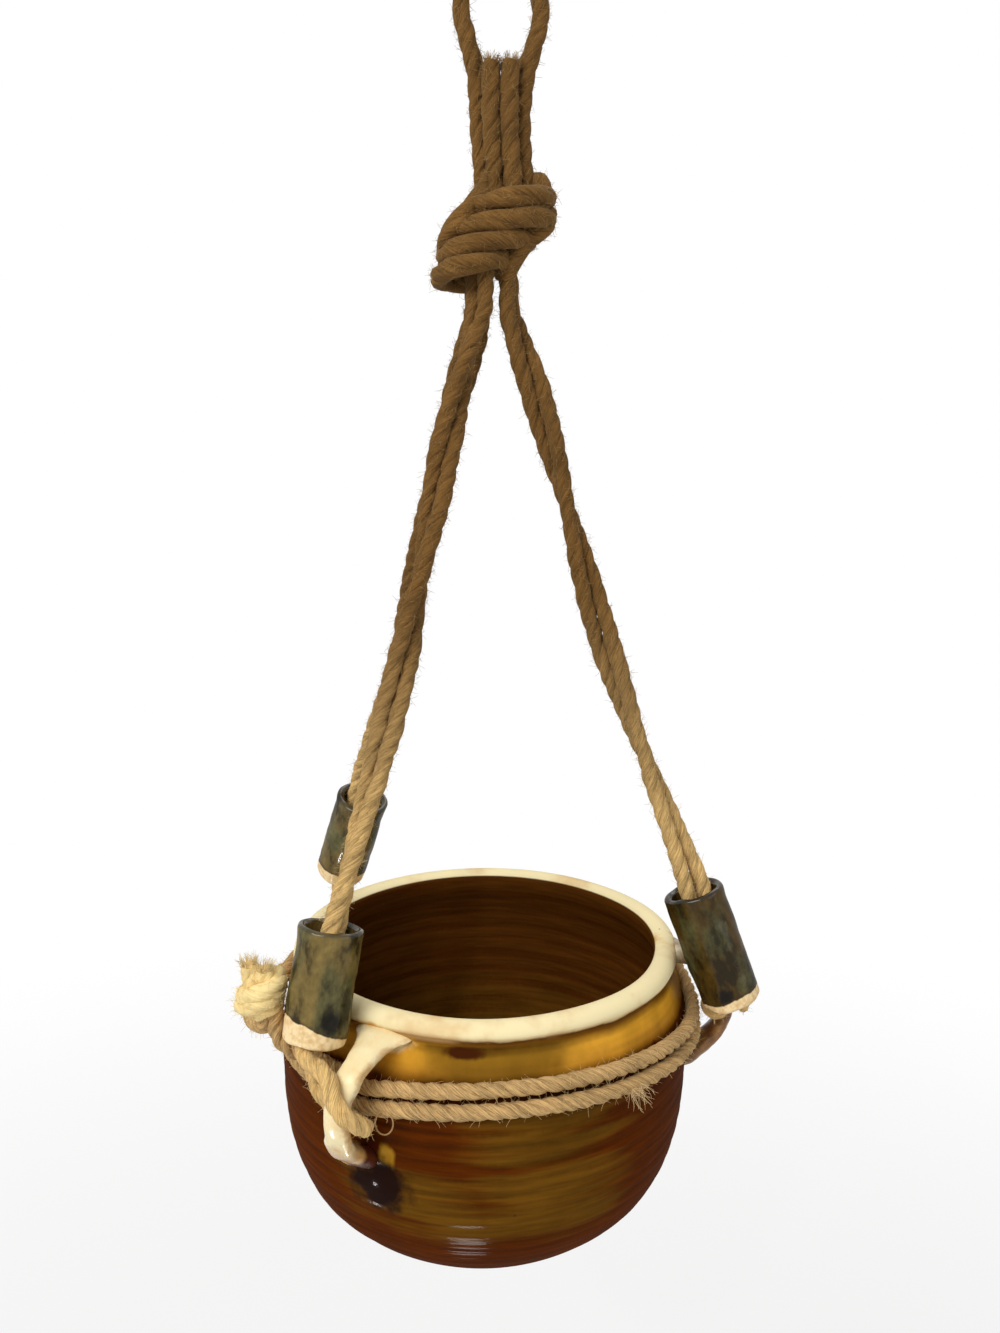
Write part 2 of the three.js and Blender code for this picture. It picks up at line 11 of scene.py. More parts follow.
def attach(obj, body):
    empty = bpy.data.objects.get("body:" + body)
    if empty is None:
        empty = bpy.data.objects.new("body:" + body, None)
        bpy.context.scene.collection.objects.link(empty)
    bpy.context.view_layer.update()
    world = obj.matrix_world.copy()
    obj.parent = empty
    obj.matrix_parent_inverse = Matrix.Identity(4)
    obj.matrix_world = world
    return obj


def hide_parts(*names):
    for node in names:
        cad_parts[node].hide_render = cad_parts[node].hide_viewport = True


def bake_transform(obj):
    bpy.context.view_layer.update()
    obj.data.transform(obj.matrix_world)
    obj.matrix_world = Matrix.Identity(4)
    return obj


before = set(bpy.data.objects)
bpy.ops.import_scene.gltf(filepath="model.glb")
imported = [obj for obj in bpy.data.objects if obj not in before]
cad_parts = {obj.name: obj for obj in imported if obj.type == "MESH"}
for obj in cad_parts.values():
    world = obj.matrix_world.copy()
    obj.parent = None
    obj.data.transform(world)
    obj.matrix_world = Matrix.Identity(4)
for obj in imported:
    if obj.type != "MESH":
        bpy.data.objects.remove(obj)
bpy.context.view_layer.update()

bl_info = {
    "name": "Hanging Stoneware Planter",
    "version": (1, 0, 0),
    "blender": (4, 5, 0),
    "location": "3D View > Sidebar > Planter",
    "description": "Builds a thrown stoneware bowl that hangs by three lugs from a doubled jute cord",
    "category": "Add Mesh",
}

# Sizes that the cords and the clay share with the solids, in millimetres and degrees
# A drop is a depth below the rim's crest.
CLEARANCE = 0.3
CORD_DIAMETER = 5.5
RIM_BELOW_HOOK = 342.0
POT_HEIGHT = 107.5
BELLY_RADIUS = 77.5
BELLY_DROP = 32.0
BELLY_EXPONENT = 3.3
FOOT_RADIUS = 35.0
NECK_RADIUS = 71.0
NECK_DROP = 8.5
RIM_OVERHANG = 2.0
RIM_WIDTH = 8.6
RIM_HEIGHT = 7.0
WALL = 5.5
FLOOR = 7.0
LUG_TOP_DROP = 9.5
LUG_BOTTOM_DROP = 47.5
LUG_WIDTH = 8.5
LUG_THICKNESS = 5.5
LUG_BEND = 5.4
LEG_HEAD_RADIUS = 8.0
LEG_TURNS = 1.25
LEG_TWIST_LAG = 1.5
LEG_STEPS = 10
KNOT_TOP = -70.0
KNOT_BOTTOM = -104.5
LEG_HEAD_HEIGHT = KNOT_BOTTOM - 7.0
HITCH_DROP = 31.0
TUBE_PLAY = 2.1
TUBE_WALL = 2.75
TUBE_SIDES = 20
GIRDLE_TOP_DROP = 23.0
GIRDLE_LOW_DROP = GIRDLE_TOP_DROP + CORD_DIAMETER + 0.75
GIRDLE_RISE = 5.7
GIRDLE_CREST = 0.44
GIRDLE_STEPS = 40
STOPPER_AZIMUTH = 220.0
STOPPER_RADIUS = BELLY_RADIUS + 18.0
STOPPER_BOTTOM_DROP = 3.0
STOPPER_HEIGHT = 17.0
STOPPER_END_SPACING = 7.0
NECK_SHIFT = 3.0
TAIL_LENGTH = 37.0

# Sizes of the looks alone, in millimetres and degrees
# The dressed cords are thicker than the solids, because soft strands swell.
LEG_ROPE = 6.0
LOOP_ROPE = 6.1
TAIL_ROPE = 6.7
KNOT_ROPE = 7.3
STOPPER_ROPE = 6.6
POOL_AZIMUTH = 243.4
POOL_DROP = 58.2
POOL_REACH = 5.8
POOL_HEIGHT = 0.9
TUBE_LIP = 1.3
ROPE_STEP = 0.9
FIRM_UNEVENNESS = 0.6
SOFT_UNEVENNESS = 1.1
STRAY_FIBRE_RADIUS = 0.07
FRAYED_FIBRE_RADIUS = 0.09

# Points round one ring of a clay piece
BOWL_AROUND = 176
LUG_AROUND = 36
TUBE_AROUND = 72

# The camera, the floor and where the lamps point, in metres and radians
CAMERA_PLACE = (0.00467, -0.38266, -0.17285)
CAMERA_PITCH = 0.1679
CAMERA_ROLL = 0.0091
FLOOR_REACH = 4.0
LAMP_AIM = (0.0, 0.0, -0.3)

# Where a piece goes over from one body to the next, in metres
KNOT_CROSSING = dict(start=(0, 0, -0.105), end=(0, 0, -0.168))
LOOP_CROSSING = dict(start=(0, 0, -0.02), end=(0, 0, -0.055))

# The hitch round a lug: share of the way out from the eye to the strap's outer face, share of the way
# sideways to the near side, drop from the hitch's middle. The front left one has slipped up its strap.
HITCH = (
    (0, 0.6, -1.5), (0, 0, 0), (0, -0.6, 0.5), (0.15, -0.97, 0.2),
    (0.5, -1.04, -0.6), (0.83, -0.85, -1.8), (1, -0.3, -3.2), (1, 0.3, -4.8),
)
HIGH_HITCH = (
    (0, 0.6, -1.5), (0, 0, 0), (0, -0.6, 0.5), (0.15, -1.02, -0.6),
    (0.5, -1.14, -4.0), (0.83, -0.98, -8.0), (0.95, -0.52, -11.6), (0.8, -0.1, -15.4),
)

# The three legs. bare is the height of unglazed clay at the foot of the tube, slant how far that line tilts,
# faces the azimuth round the tube where the bare clay reaches highest, thick how far its glaze is darkened to
# brown, which on the right tube is painted shade, and pool the azimuth, height and reach of a dark pool in
# it.
# head_aside and root_aside are how far the lug's upper half and its lower root lie to one side,
# brown_and_shade is how far up its tan root reaches and how brown it is, which on the right lug is partly
# painted shade, and slack is the leg's share of the bow.
LEGS = (
    dict(name="front_left", azimuth=240.5, side=-1, lug_drop=0.0, girdle_dip=0.0, foot_out=1.6, foot_drop=8.0,
         tube_length=37.5, tip=-1.0, bare=5.4, slant=3.2, faces=205.0, thick=0.0, pool=(303.0, 9.0, 4.8),
         head_shift=1.6, slack=0.85, hitch=HIGH_HITCH, brown_and_shade=0.0, head_aside=2.6, root_aside=-3.0),
    dict(name="right", azimuth=-4.5, side=-1, lug_drop=-4.0, girdle_dip=2.5, foot_out=7.0, foot_drop=16.0,
         tube_length=44.0, tip=0.6, bare=3.0, slant=1.4, faces=300.0, thick=1.0, pool=(256.0, 6.5, 3.4),
         head_shift=-1.0, slack=1.0, hitch=HITCH, brown_and_shade=0.5, head_aside=0.0, root_aside=0.0),
    dict(name="back_left", azimuth=126.0, side=1, lug_drop=0.0, girdle_dip=0.0, foot_out=3.4, foot_drop=1.0,
         tube_length=42.0, tip=1.0, bare=4.6, slant=1.6, faces=280.0, thick=0.25, pool=(300.0, 8.0, 5.0),
         head_shift=1.6, slack=0.45, hitch=HITCH, brown_and_shade=0.0, head_aside=0.0, root_aside=0.0),
)

# The girdle's ends between the bowl and the stopper knot: azimuth, distance out from the wall, drop
GIRDLE_START = ((223.2, 14.2, 12.8), (224.4, 8.4, 17), (226.2, 3, 19.6), (229.5, 0, 21.2))
GIRDLE_END = (
    (150, 2.6, 28.6), (158.5, 6.2, 29), (168, 7.6, 27.6), (178, 8.4, 25.2),
    (188, 9.4, 22.2), (198, 11.2, 18.8), (206.5, 13.8, 15.2), (213, 16.2, 12.2),
)

# One side of each hanging loop, from the knot up to the crown: distance from the middle, shift of the middle,
# depth, height
LOOP_SIDES = {
    "loop_strand_front": (
        (7.37, 3, -0.5, -69.7), (7.37, 3, -0.5, -64.2), (7.6, 3, -0.6, -50), (8.6, 3.2, -1.6, -37),
        (11.4, 3.4, -2.8, -25), (13.4, 3, -3, -15), (11.8, 2, -3, -6), (6.6, 0.8, -3, 0.6), (0, 0, -3, 2.75),
    ),
    "loop_strand_back": (
        (3.05, 3, 4.4, -69.7), (3.05, 3, 4.4, -64.2), (3.3, 3, 4.4, -50), (6.2, 3.2, 4.4, -37),
        (10.8, 3.4, 3.4, -25), (13.3, 3, 3, -15), (11.7, 2, 3, -6), (6.6, 0.8, 3, 0.6), (0, 0, 3, 2.75),
    ),
}

# Darker stretches of the neck, partly darker glaze and partly painted shade under the rim, and olive fields
# of the belly: azimuth, drop where it begins
DARK_AND_SHADED_STRETCHES = ((275.0, 0.0), (32.0, 0.0), (150.0, 0.0))
OLIVE_FIELDS = ((254.0, 54.0), (286.5, 30.0), (24.0, 30.0), (52.0, 50.0), (148.0, 42.0), (185.0, 52.0))


def linear(code):
    """Turn an sRGB hex code into a linear colour with full alpha."""
    shares = [int(code[i:i + 2], 16) / 255 for i in (1, 3, 5)]
    return tuple(s / 12.92 if s <= 0.04045 else ((s + 0.055) / 1.055) ** 2.4 for s in shares) + (1.0,)


def colour_setting(label, what, code):
    """A colour setting, with an sRGB hex code for its default."""
    return FloatVectorProperty(
        name=label, description=what, default=linear(code), size=4, min=0.0, max=1.0, subtype="COLOR")


def length_setting(label, what, usual, least, most):
    """A length setting, in metres."""
    return FloatProperty(name=label, description=what, default=usual, min=least, max=most, unit="LENGTH")


def power_setting(label, what, usual):
    """A setting for the power of a lamp, in watts."""
    return FloatProperty(name=label, description=what, default=usual, min=0.0, unit="POWER")


class PlanterCord(bpy.types.PropertyGroup):
    """Sizes and colours of the jute"""
    lay_length: length_setting(
        "Lay Length", "Length in which a strand of the girdle goes once round the cord", 0.0155, 0.005, 0.05)
    soft_lay_length: length_setting(
        "Soft Lay Length", "The same length in the softer cord of the legs, the loop and the knot",
        0.022, 0.005, 0.08)
    plumpness: FloatProperty(
        name="Plumpness", description="Radius of one of the girdle's strands as a share of the cord's radius",
        default=0.6, min=0.46, max=0.75, subtype="FACTOR")
    soft_plumpness: FloatProperty(
        name="Soft Plumpness",
        description="The same share in the softer cord, whose strands press into one another",
        default=0.67, min=0.46, max=0.75, subtype="FACTOR")
    leg_bow: length_setting(
        "Leg Bow", "How far a leg bows in towards the middle between its tube and the knot",
        0.0042, 0.0, 0.01)
    fibre_length: length_setting("Fibre Length", "Usual length of a stray fibre", 0.0026, 0.001, 0.02)
    fibre_density: FloatProperty(
        name="Fibre Density", description="Stray fibres to a square metre of strand",
        default=190000.0, min=0.0, max=600000.0)
    # Upper jute is the darker colour from the legs' middle up, lower jute the lighter one below.
    upper_colour: colour_setting(
        "Upper Jute", "Jute darkened by handling, at the knot and the loop", "#6e4e26")
    lower_colour: colour_setting("Lower Jute", "Cleaner jute, near the bowl", "#d8b374")
    girdle_colour: colour_setting("Girdle Jute", "Paler jute of the cord round the bowl", "#bb9865")
    stopper_colour: colour_setting("Stopper Jute", "Opened, palest jute of the stopper knot", "#f8de9e")


class PlanterClay(bpy.types.PropertyGroup):
    """Sizes and colours of the clay and its glazes"""
    ridge_pitch: length_setting("Ridge Pitch", "Distance between two throwing ridges", 0.0052, 0.001, 0.02)
    ridge_depth: length_setting(
        "Ridge Depth", "Height of a throwing ridge above the mean wall", 0.0002, 0.0, 0.002)
    wobble: length_setting("Wobble", "How far the thrown wall runs out of round", 0.0004, 0.0, 0.003)
    seed: IntProperty(name="Seed", description="Seed of the thrown wall's unevenness", default=7, min=0)
    olive_glaze: colour_setting("Olive Glaze", "Glaze on the ridges between the lugs", "#62400c")
    brown_glaze: colour_setting("Brown Glaze", "Glaze on the ridges beside the lugs and low down", "#512302")
    groove_shade: FloatProperty(
        name="Groove Shade",
        description="How light the thicker glaze in a groove is, as a share of the ridge's",
        default=0.74, min=0.0, max=1.0, subtype="FACTOR")
    amber_glaze: colour_setting("Amber Glaze", "Glaze of the neck, where cream runs into brown", "#d2982c")
    cream_glaze: colour_setting("Cream Glaze", "Glaze of the rim and the lugs", "#efdfb0")
    inside_glaze: colour_setting("Inside Glaze", "Glaze on the ridges inside the bowl", "#4f2c0b")
    tube_glaze: colour_setting("Tube Glaze", "Olive glaze of the tubes where it is thin", "#6b5a31")
    bare_clay: colour_setting("Bare Clay", "Fired clay without glaze", "#ecd3a2")


class PlanterStage(bpy.types.PropertyGroup):
    """Floor, light and camera"""
    floor_height: FloatProperty(
        name="Floor Height", description="Height of the floor below the hook",
        default=-1.15, max=-0.46, unit="LENGTH")
    key_power: power_setting("Key Power", "Power of the main lamp, high on the left", 20.0)
    fill_power: power_setting("Fill Power", "Power of the lamp on the right", 4.5)
    back_power: power_setting("Back Power", "Power of the lamp behind", 6.0)
    glint_power: power_setting("Glint Power", "Power of the small lamp that puts glints on the glaze", 3.2)
    low_power: power_setting(
        "Low Power", "Power of the small lamp below that puts a glint on the curve of the belly", 2.0)
    pool_power: power_setting(
        "Pool Power", "Power of the small lamp that puts a glint on the dark pool of glaze", 0.8)
    sky_level: FloatProperty(
        name="Sky Level", description="Strength of the even light from all round",
        default=0.42, min=0.0, max=2.0)
    lens: FloatProperty(
        name="Lens", description="Focal length on a 36 mm wide sensor",
        default=0.037674, min=0.01, unit="CAMERA")


def add(tree, kind, *values, stops=(), out=None, **named):
    """Add a node and give back one of its outputs, unless told otherwise the first one in use.

    Values fill the inputs in use from the first on. A name with a capital is an input too, with _ for a
    space, and any other name is a setting. Stops are those of a colour ramp. A kind without a prefix is a
    shader's.
    """
    node = tree.nodes.new(kind if "Node" in kind else "ShaderNode" + kind)
    for key, value in named.items():
        if key[0].islower():
            setattr(node, key, value)
    for number, (place, colour) in enumerate(stops):
        if number >= len(node.color_ramp.elements):
            node.color_ramp.elements.new(1.0)
        node.color_ramp.elements[number].position = place
        node.color_ramp.elements[number].color = colour
    fills = list(zip([socket for socket in node.inputs if socket.enabled], values))
    fills += [(node.inputs[key.replace("_", " ")], value) for key, value in named.items() if key[0].isupper()]
    for socket, value in fills:
        if isinstance(value, bpy.types.NodeSocket):
            tree.links.new(value, socket)
        else:
            socket.default_value = value
    if out is not None:
        return node.outputs[out]
    return next((socket for socket in node.outputs if socket.enabled), None)


def start_material(name):
    """Make a material with an empty node tree, and what adds a node to it."""
    material = bpy.data.materials.new(name)
    material.use_nodes = True
    material.node_tree.nodes.clear()
    return material, partial(add, material.node_tree)


def jute_by_height(node, place, lower, upper):
    """The jute's colour by height: lighter near the bowl, darker from the legs' middle up."""
    height = node("SeparateXYZ", place, out="Z")
    upper_share = node("MapRange", height, -0.335, -0.2, interpolation_type="SMOOTHSTEP")
    return node("Mix", upper_share, lower, upper, data_type="RGBA")


def jute_cord(name, upper, lower, faintest=0.42, brightest=1.46):
    """Twisted jute: dull bast fibre, streaked along its strands, darker from the legs' middle up."""
    if name in bpy.data.materials:
        return bpy.data.materials[name]
    material, node = start_material(name)
    place = node("TexCoord", out="Object")
    base = jute_by_height(node, place, lower, upper)
    # Fibres lie nearly along the cord, so their streaks turn back round a strand that winds.
    # A streak is about 0.3 mm wide, wider than one fibre, so that it shows, and some 5 mm long.
    section = node("Attribute", attribute_name="section", out="Vector")
    along, ply = [node("Attribute", attribute_name=label, out="Fac") for label in ("along", "ply")]
    back = node("Math", along, -330.0, operation="MULTIPLY")
    turned = node("VectorRotate", section, Angle=back, rotation_type="Z_AXIS")
    run = node("Math", along, 42.0, operation="MULTIPLY")
    apart = node("Math", ply, 3.7, run, operation="MULTIPLY_ADD")
    where = node("VectorMath", turned, node("CombineXYZ", Z=apart), operation="ADD")
    streak = node("TexNoise", where, Scale=4.6, Detail=4.0, Roughness=0.62)
    shade = node("MapRange", streak, 0.3, 0.7, faintest, brightest)
    patch = node("TexNoise", place, Scale=70.0, Detail=2.0)
    cloud = node("MapRange", patch, 0.3, 0.7, 0.82, 1.12)
    level = node("Math", shade, cloud, operation="MULTIPLY")
    colour = node("VectorMath", base, level, operation="SCALE")
    bump = node("Bump", Strength=0.75, Distance=0.0004, Height=streak)
    surface = node("BsdfPrincipled", Base_Color=colour, Roughness=0.92, Specular_IOR_Level=0.1, Normal=bump,
                   Sheen_Weight=0.12, Sheen_Roughness=0.55, Sheen_Tint=linear("#f0d7a6"))
    node("OutputMaterial", surface)
    return material


def jute_fibre(name="stray jute fibre", lower="#d9bb88", upper="#9a7a4b"):
    """Loose jute fibre: straw coloured, thin and dull, with some fibres darker than others."""
    if name in bpy.data.materials:
        return bpy.data.materials[name]
    material, node = start_material(name)
    place = node("TexCoord", out="Object")
    base = jute_by_height(node, place, linear(lower), linear(upper))
    patch = node("TexNoise", place, Scale=300.0, Detail=1.0)
    level = node("MapRange", patch, 0.3, 0.7, 0.7, 1.2)
    colour = node("VectorMath", base, level, operation="SCALE")
    surface = node("BsdfPrincipled", Base_Color=colour, Roughness=0.8, Specular_IOR_Level=0.25)
    node("OutputMaterial", surface)
    return material


def iron_specks(node, place, ground, colour, scale, rarest, widest, strength):
    """Iron specks on a glaze, under a millimetre across, in some of the cells of a pattern."""
    distance = node("TexVoronoi", place, Scale=scale, Randomness=1.0)
    chosen = node("SeparateColor", distance.node.outputs["Color"])
    size = node("MapRange", chosen, rarest, 1.0, 0.0, widest)
    speck = node("Math", distance, size, operation="LESS_THAN")
    share = node("Math", speck, strength, operation="MULTIPLY")
    return node("Mix", share, ground, linear(colour), data_type="RGBA")


def thrown_glaze(clay):
    """Glazed stoneware: glossy brown that breaks olive on the throwing ridges, amber under a cream rim."""
    material, node = start_material("glazed thrown stoneware")
    place = node("TexCoord", out="Object")
    height = node("SeparateXYZ", place, out="Z")
    drop = node("Math", height, -1000.0, -RIM_BELOW_HOOK, operation="MULTIPLY_ADD")
    ridge, inside, bare = [
        node("Attribute", attribute_name=label, out="Fac") for label in ("ridge", "inside", "bare")]
    # Runs in the glaze are some 8 mm wide and longer than they are wide.
    tall = node("Mapping", place, Scale=(1.0, 1.0, 0.3))
    runs = node("TexNoise", tall, Scale=125.0, Detail=2.0, Roughness=0.5)
    clouds = node("TexNoise", place, Scale=45.0, Detail=4.0, Roughness=0.55)
    grain = node("TexNoise", place, Scale=620.0, Detail=3.0, Roughness=0.6)
    # Fine throwing lines, about 1.5 mm apart and 20 mm long
    level_way = node("Mapping", place, Scale=(50.0, 50.0, 640.0))
    lines = node("TexNoise", level_way, Scale=1.0, Detail=2.0, Roughness=0.55)
    uneven = node("MapRange", runs, 0.25, 0.75, -2.2, 2.2)
    wander = node("Math", drop, uneven, operation="ADD")
    sway = node("MapRange", clouds, 0.3, 0.7, -0.9, 0.9)
    slight = node("Math", drop, sway, operation="ADD")

    # How near a place is, going round, to a darker, partly shaded stretch of the neck and to an olive field
    # of the belly
    flat = node("VectorMath", place, (1.0, 1.0, 0.0), operation="MULTIPLY")
    round_way = node("VectorMath", flat, operation="NORMALIZE")
    nearest = []
    for middles in (DARK_AND_SHADED_STRETCHES, OLIVE_FIELDS):
        best = None
        for azimuth, begin in middles:
            near = node("VectorMath", round_way, tuple(flat_way(azimuth)), operation="DOT_PRODUCT")
            late = node("MapRange", drop, begin - 16.0, begin + 6.0, 0.13, 0.0,
                        interpolation_type="SMOOTHSTEP")
            near = node("Math", near, late, operation="SUBTRACT")
            best = near if best is None else node("Math", best, near, operation="MAXIMUM")
        nearest.append(best)
    near_dark_and_shaded, near_olive = nearest

    # The rim and neck, from the cream crest down to the amber that the girdle hides
    rim_share = node("MapRange", slight, 0.0, 25.0)
    # The tan and dark brown stops just under the crest are painted shade under the rim's roll, over a real
    # thin brown line where the cream ends.
    collar = node("ValToRGB", rim_share, stops=(
        (0.0, clay.cream_glaze), (0.165, clay.cream_glaze), (0.21, linear("#d9bd8a")),
        (0.245, linear("#5b3610")), (0.33, linear("#7c5114")), (0.44, clay.amber_glaze),
        (0.63, linear("#c58b2a")), (0.74, linear("#8f5f1a")), (0.86, linear("#4f2707"))))
    broken = node("Math", grain, 0.35, ridge, operation="MULTIPLY_ADD")
    ridge_share = node("MapRange", broken, 0.2, 0.86, interpolation_type="SMOOTHSTEP")
    # A darker stretch of the neck is partly darker glaze and partly painted shade under the rim.
    hazy = node("Math", clouds, 0.12, near_dark_and_shaded, operation="MULTIPLY_ADD")
    dim = node("MapRange", hazy, 0.97, 1.045, 1.0, 0.38, interpolation_type="SMOOTHSTEP")
    lined = node("MapRange", ridge_share, 0.0, 1.0, 0.8, 1.06)
    streaky = node("MapRange", runs, 0.3, 0.7, 0.84, 1.08)
    for share in (dim, lined):
        streaky = node("Math", streaky, share, operation="MULTIPLY")
    neck = node("MapRange", drop, 7.5, 9.0)
    collar = node("VectorMath", collar, node("Mix", neck, 1.0, streaky), operation="SCALE")
    tanned = node("MapRange", clouds, 0.5, 0.72, 0.0, 0.6, interpolation_type="SMOOTHSTEP")
    crested = node("MapRange", drop, 6.0, 7.5, 1.0, 0.0)
    tan_share = node("Math", tanned, crested, operation="MULTIPLY")
    collar = node("Mix", tan_share, collar, linear("#d3ab73"), data_type="RGBA")

    # The belly: olive fields between the lugs, brown beside them and low down
    # Their edges break into level streaks, some 7 mm high and 60 mm long.
    wide_way = node("Mapping", place, Scale=(16.0, 16.0, 150.0))
    broad = node("TexNoise", wide_way, Scale=1.0, Detail=3.0, Roughness=0.6)
    blurred = node("Math", broad, 0.3, near_olive, operation="MULTIPLY_ADD")
    field = node("MapRange", blurred, 1.05, 1.15, interpolation_type="SMOOTHSTEP")
    depth_way = node("Math", broad, -26.0, drop, operation="MULTIPLY_ADD")
    low = node("MapRange", depth_way, 55.0, 67.0, 1.0, 0.0, interpolation_type="SMOOTHSTEP")
    olive = node("Math", field, low, operation="MULTIPLY")
    crest = node("Mix", olive, clay.brown_glaze, clay.olive_glaze, data_type="RGBA")
    # The grooves are deepest in colour on the upper belly, partly as thicker glaze in the grooves and partly
    # as painted shade below the girdle.
    groove_and_girdle_shade = node("MapRange", drop, 36.0, 62.0, 0.74 * clay.groove_shade, 1.08 * clay.groove_shade)
    level = node("MapRange", ridge_share, 0.0, 1.0, groove_and_girdle_shade, 1.0)
    mottle = node("MapRange", clouds, 0.3, 0.7, 0.86, 1.12)
    fine = node("MapRange", lines, 0.35, 0.72, 0.88, 1.3)
    for share in (mottle, fine):
        level = node("Math", level, share, operation="MULTIPLY")
    belly = node("VectorMath", crest, level, operation="SCALE")
    below = node("MapRange", wander, 19.2, 21.4, interpolation_type="SMOOTHSTEP")
    outside = node("Mix", below, collar, belly, data_type="RGBA")

    # Runs and pools, each a ragged ellipse on the wall: cream about the lugs' upper roots, a dark brown patch
    # under the rim, and a brown run, an amber run and a dark pool below the front left lug. The dark brown
    # patch under the rim and the brown run beside that lug's lower root are each partly real glaze and partly
    # painted shade.
    torn = node("TexNoise", place, Scale=140.0, Detail=3.0, Roughness=0.55)
    cream_runs = [
        (leg["azimuth"] + 0.8 * leg["head_aside"], 9.6 + leg["lug_drop"], *ellipse) for leg in LEGS
        for ellipse in ((13.5, 5.6, linear("#c98f2c")), (11.5, 3.6, clay.cream_glaze))]
    for azimuth, depth, wide, high, colour in cream_runs + [
            # The first two here are partly painted shade: under the rim, and beside the front left lug's
            # lower root.
            (265.5, 10.2, 8.5, 2.6, linear("#3f1c06")), (242.4, 47.5, 5.5, 6.5, linear("#43180a")),
            (246.4, 47.6, 3.6, 5.6, linear("#a87a20")),
            (POOL_AZIMUTH, POOL_DROP, 14.5, 12.5, linear("#1c0802"))]:
        radius = wall_radius(depth) if depth < BELLY_DROP else bowl_radius(depth)
        middle = polar(radius, azimuth, depth) / 1000
        away = node("VectorMath", place, tuple(middle), operation="SUBTRACT")
        scaled = node("VectorMath", away, (1000 / wide, 1000 / wide, 1000 / high), operation="MULTIPLY")
        reach = node("VectorMath", scaled, operation="LENGTH")
        ragged = node("Math", torn, 1.3, reach, operation="MULTIPLY_ADD")
        spot = node("MapRange", ragged, 1.15, 1.75, 1.0, 0.0, interpolation_type="SMOOTHSTEP")
        outside = node("Mix", spot, outside, colour, data_type="RGBA")
    outside = iron_specks(node, place, outside, "#4a2712",
                          scale=85.0, rarest=0.62, widest=0.075, strength=0.75)

    # The inside: dark brown, olive on the ridges low down, with bare clay only under the foot
    deep = node("MapRange", wander, 48.0, 92.0)
    ringed = node("Mix", deep, clay.inside_glaze, linear("#664813"), data_type="RGBA")
    within = node("Mix", ridge_share, linear("#452206"), ringed, data_type="RGBA")
    within = node("VectorMath", within, fine, operation="SCALE")
    glazed = node("Mix", inside, outside, within, data_type="RGBA")
    colour = node("Mix", bare, glazed, clay.bare_clay, data_type="RGBA")
    smooth = node("MapRange", clouds, 0.3, 0.7, 0.17, 0.3)
    rough = node("Mix", bare, smooth, 0.85)
    # The dark pool, the last of the runs and pools, is thick glaze and the glossiest place.
    coat = node("MapRange", spot, 0.0, 1.0, 0.036, 0.09)
    bump = node("Bump", Strength=0.16, Distance=0.0003, Height=grain)
    surface = node("BsdfPrincipled", Base_Color=colour, Roughness=rough, IOR=1.5, Specular_IOR_Level=0.0,
                   Normal=bump, Coat_Weight=coat, Coat_Roughness=0.12, Coat_IOR=1.5, Coat_Normal=bump)
    node("OutputMaterial", surface)
    return material


def lug_glaze(clay):
    """Cream glaze on pulled clay: thick and pale on the strap, thin and tan at its edges and lower root."""
    material, node = start_material("cream glazed pulled clay")
    place = node("TexCoord", out="Object")
    run, edge, pool = [
        node("Attribute", attribute_name=label, out="Fac") for label in ("run", "edge", "pool")]
    clouds = node("TexNoise", place, Scale=160.0, Detail=5.0, Roughness=0.6)
    grain = node("TexNoise", place, Scale=700.0, Detail=2.0)
    lower = node("Math", clouds, 0.42, run, operation="MULTIPLY_ADD")
    root = node("MapRange", lower, 0.76, 1.06, interpolation_type="SMOOTHSTEP")
    thin = node("Math", clouds, 0.9, edge, operation="MULTIPLY_ADD")
    worn = node("MapRange", thin, 1.22, 1.62, 0.0, 0.8, interpolation_type="SMOOTHSTEP")
    cloudy = node("MapRange", clouds, 0.42, 0.68)
    # The pooled brown over most of the right lug, and on one side of each lower root, is partly brown glaze
    # and partly painted shade.
    runny = node("Math", clouds, 0.5, pool, operation="MULTIPLY_ADD")
    pooled = node("MapRange", runny, 0.55, 1.05, interpolation_type="SMOOTHSTEP")
    colour = clay.cream_glaze
    for share, code in ((cloudy, "#e9cf98"), (worn, "#b98a4c"), (root, "#bf9257"), (pooled, "#4f2210")):
        colour = node("Mix", share, colour, linear(code), data_type="RGBA")
    colour = iron_specks(node, place, colour, "#5f3b1c", scale=190.0, rarest=0.7, widest=0.09, strength=0.6)
    rough = node("MapRange", clouds, 0.3, 0.7, 0.2, 0.36)
    bump = node("Bump", Strength=0.15, Distance=0.0003, Height=grain)
    surface = node("BsdfPrincipled", Base_Color=colour, Roughness=rough, IOR=1.5, Specular_IOR_Level=0.35,
                   Normal=bump)
    node("OutputMaterial", surface)
    return material


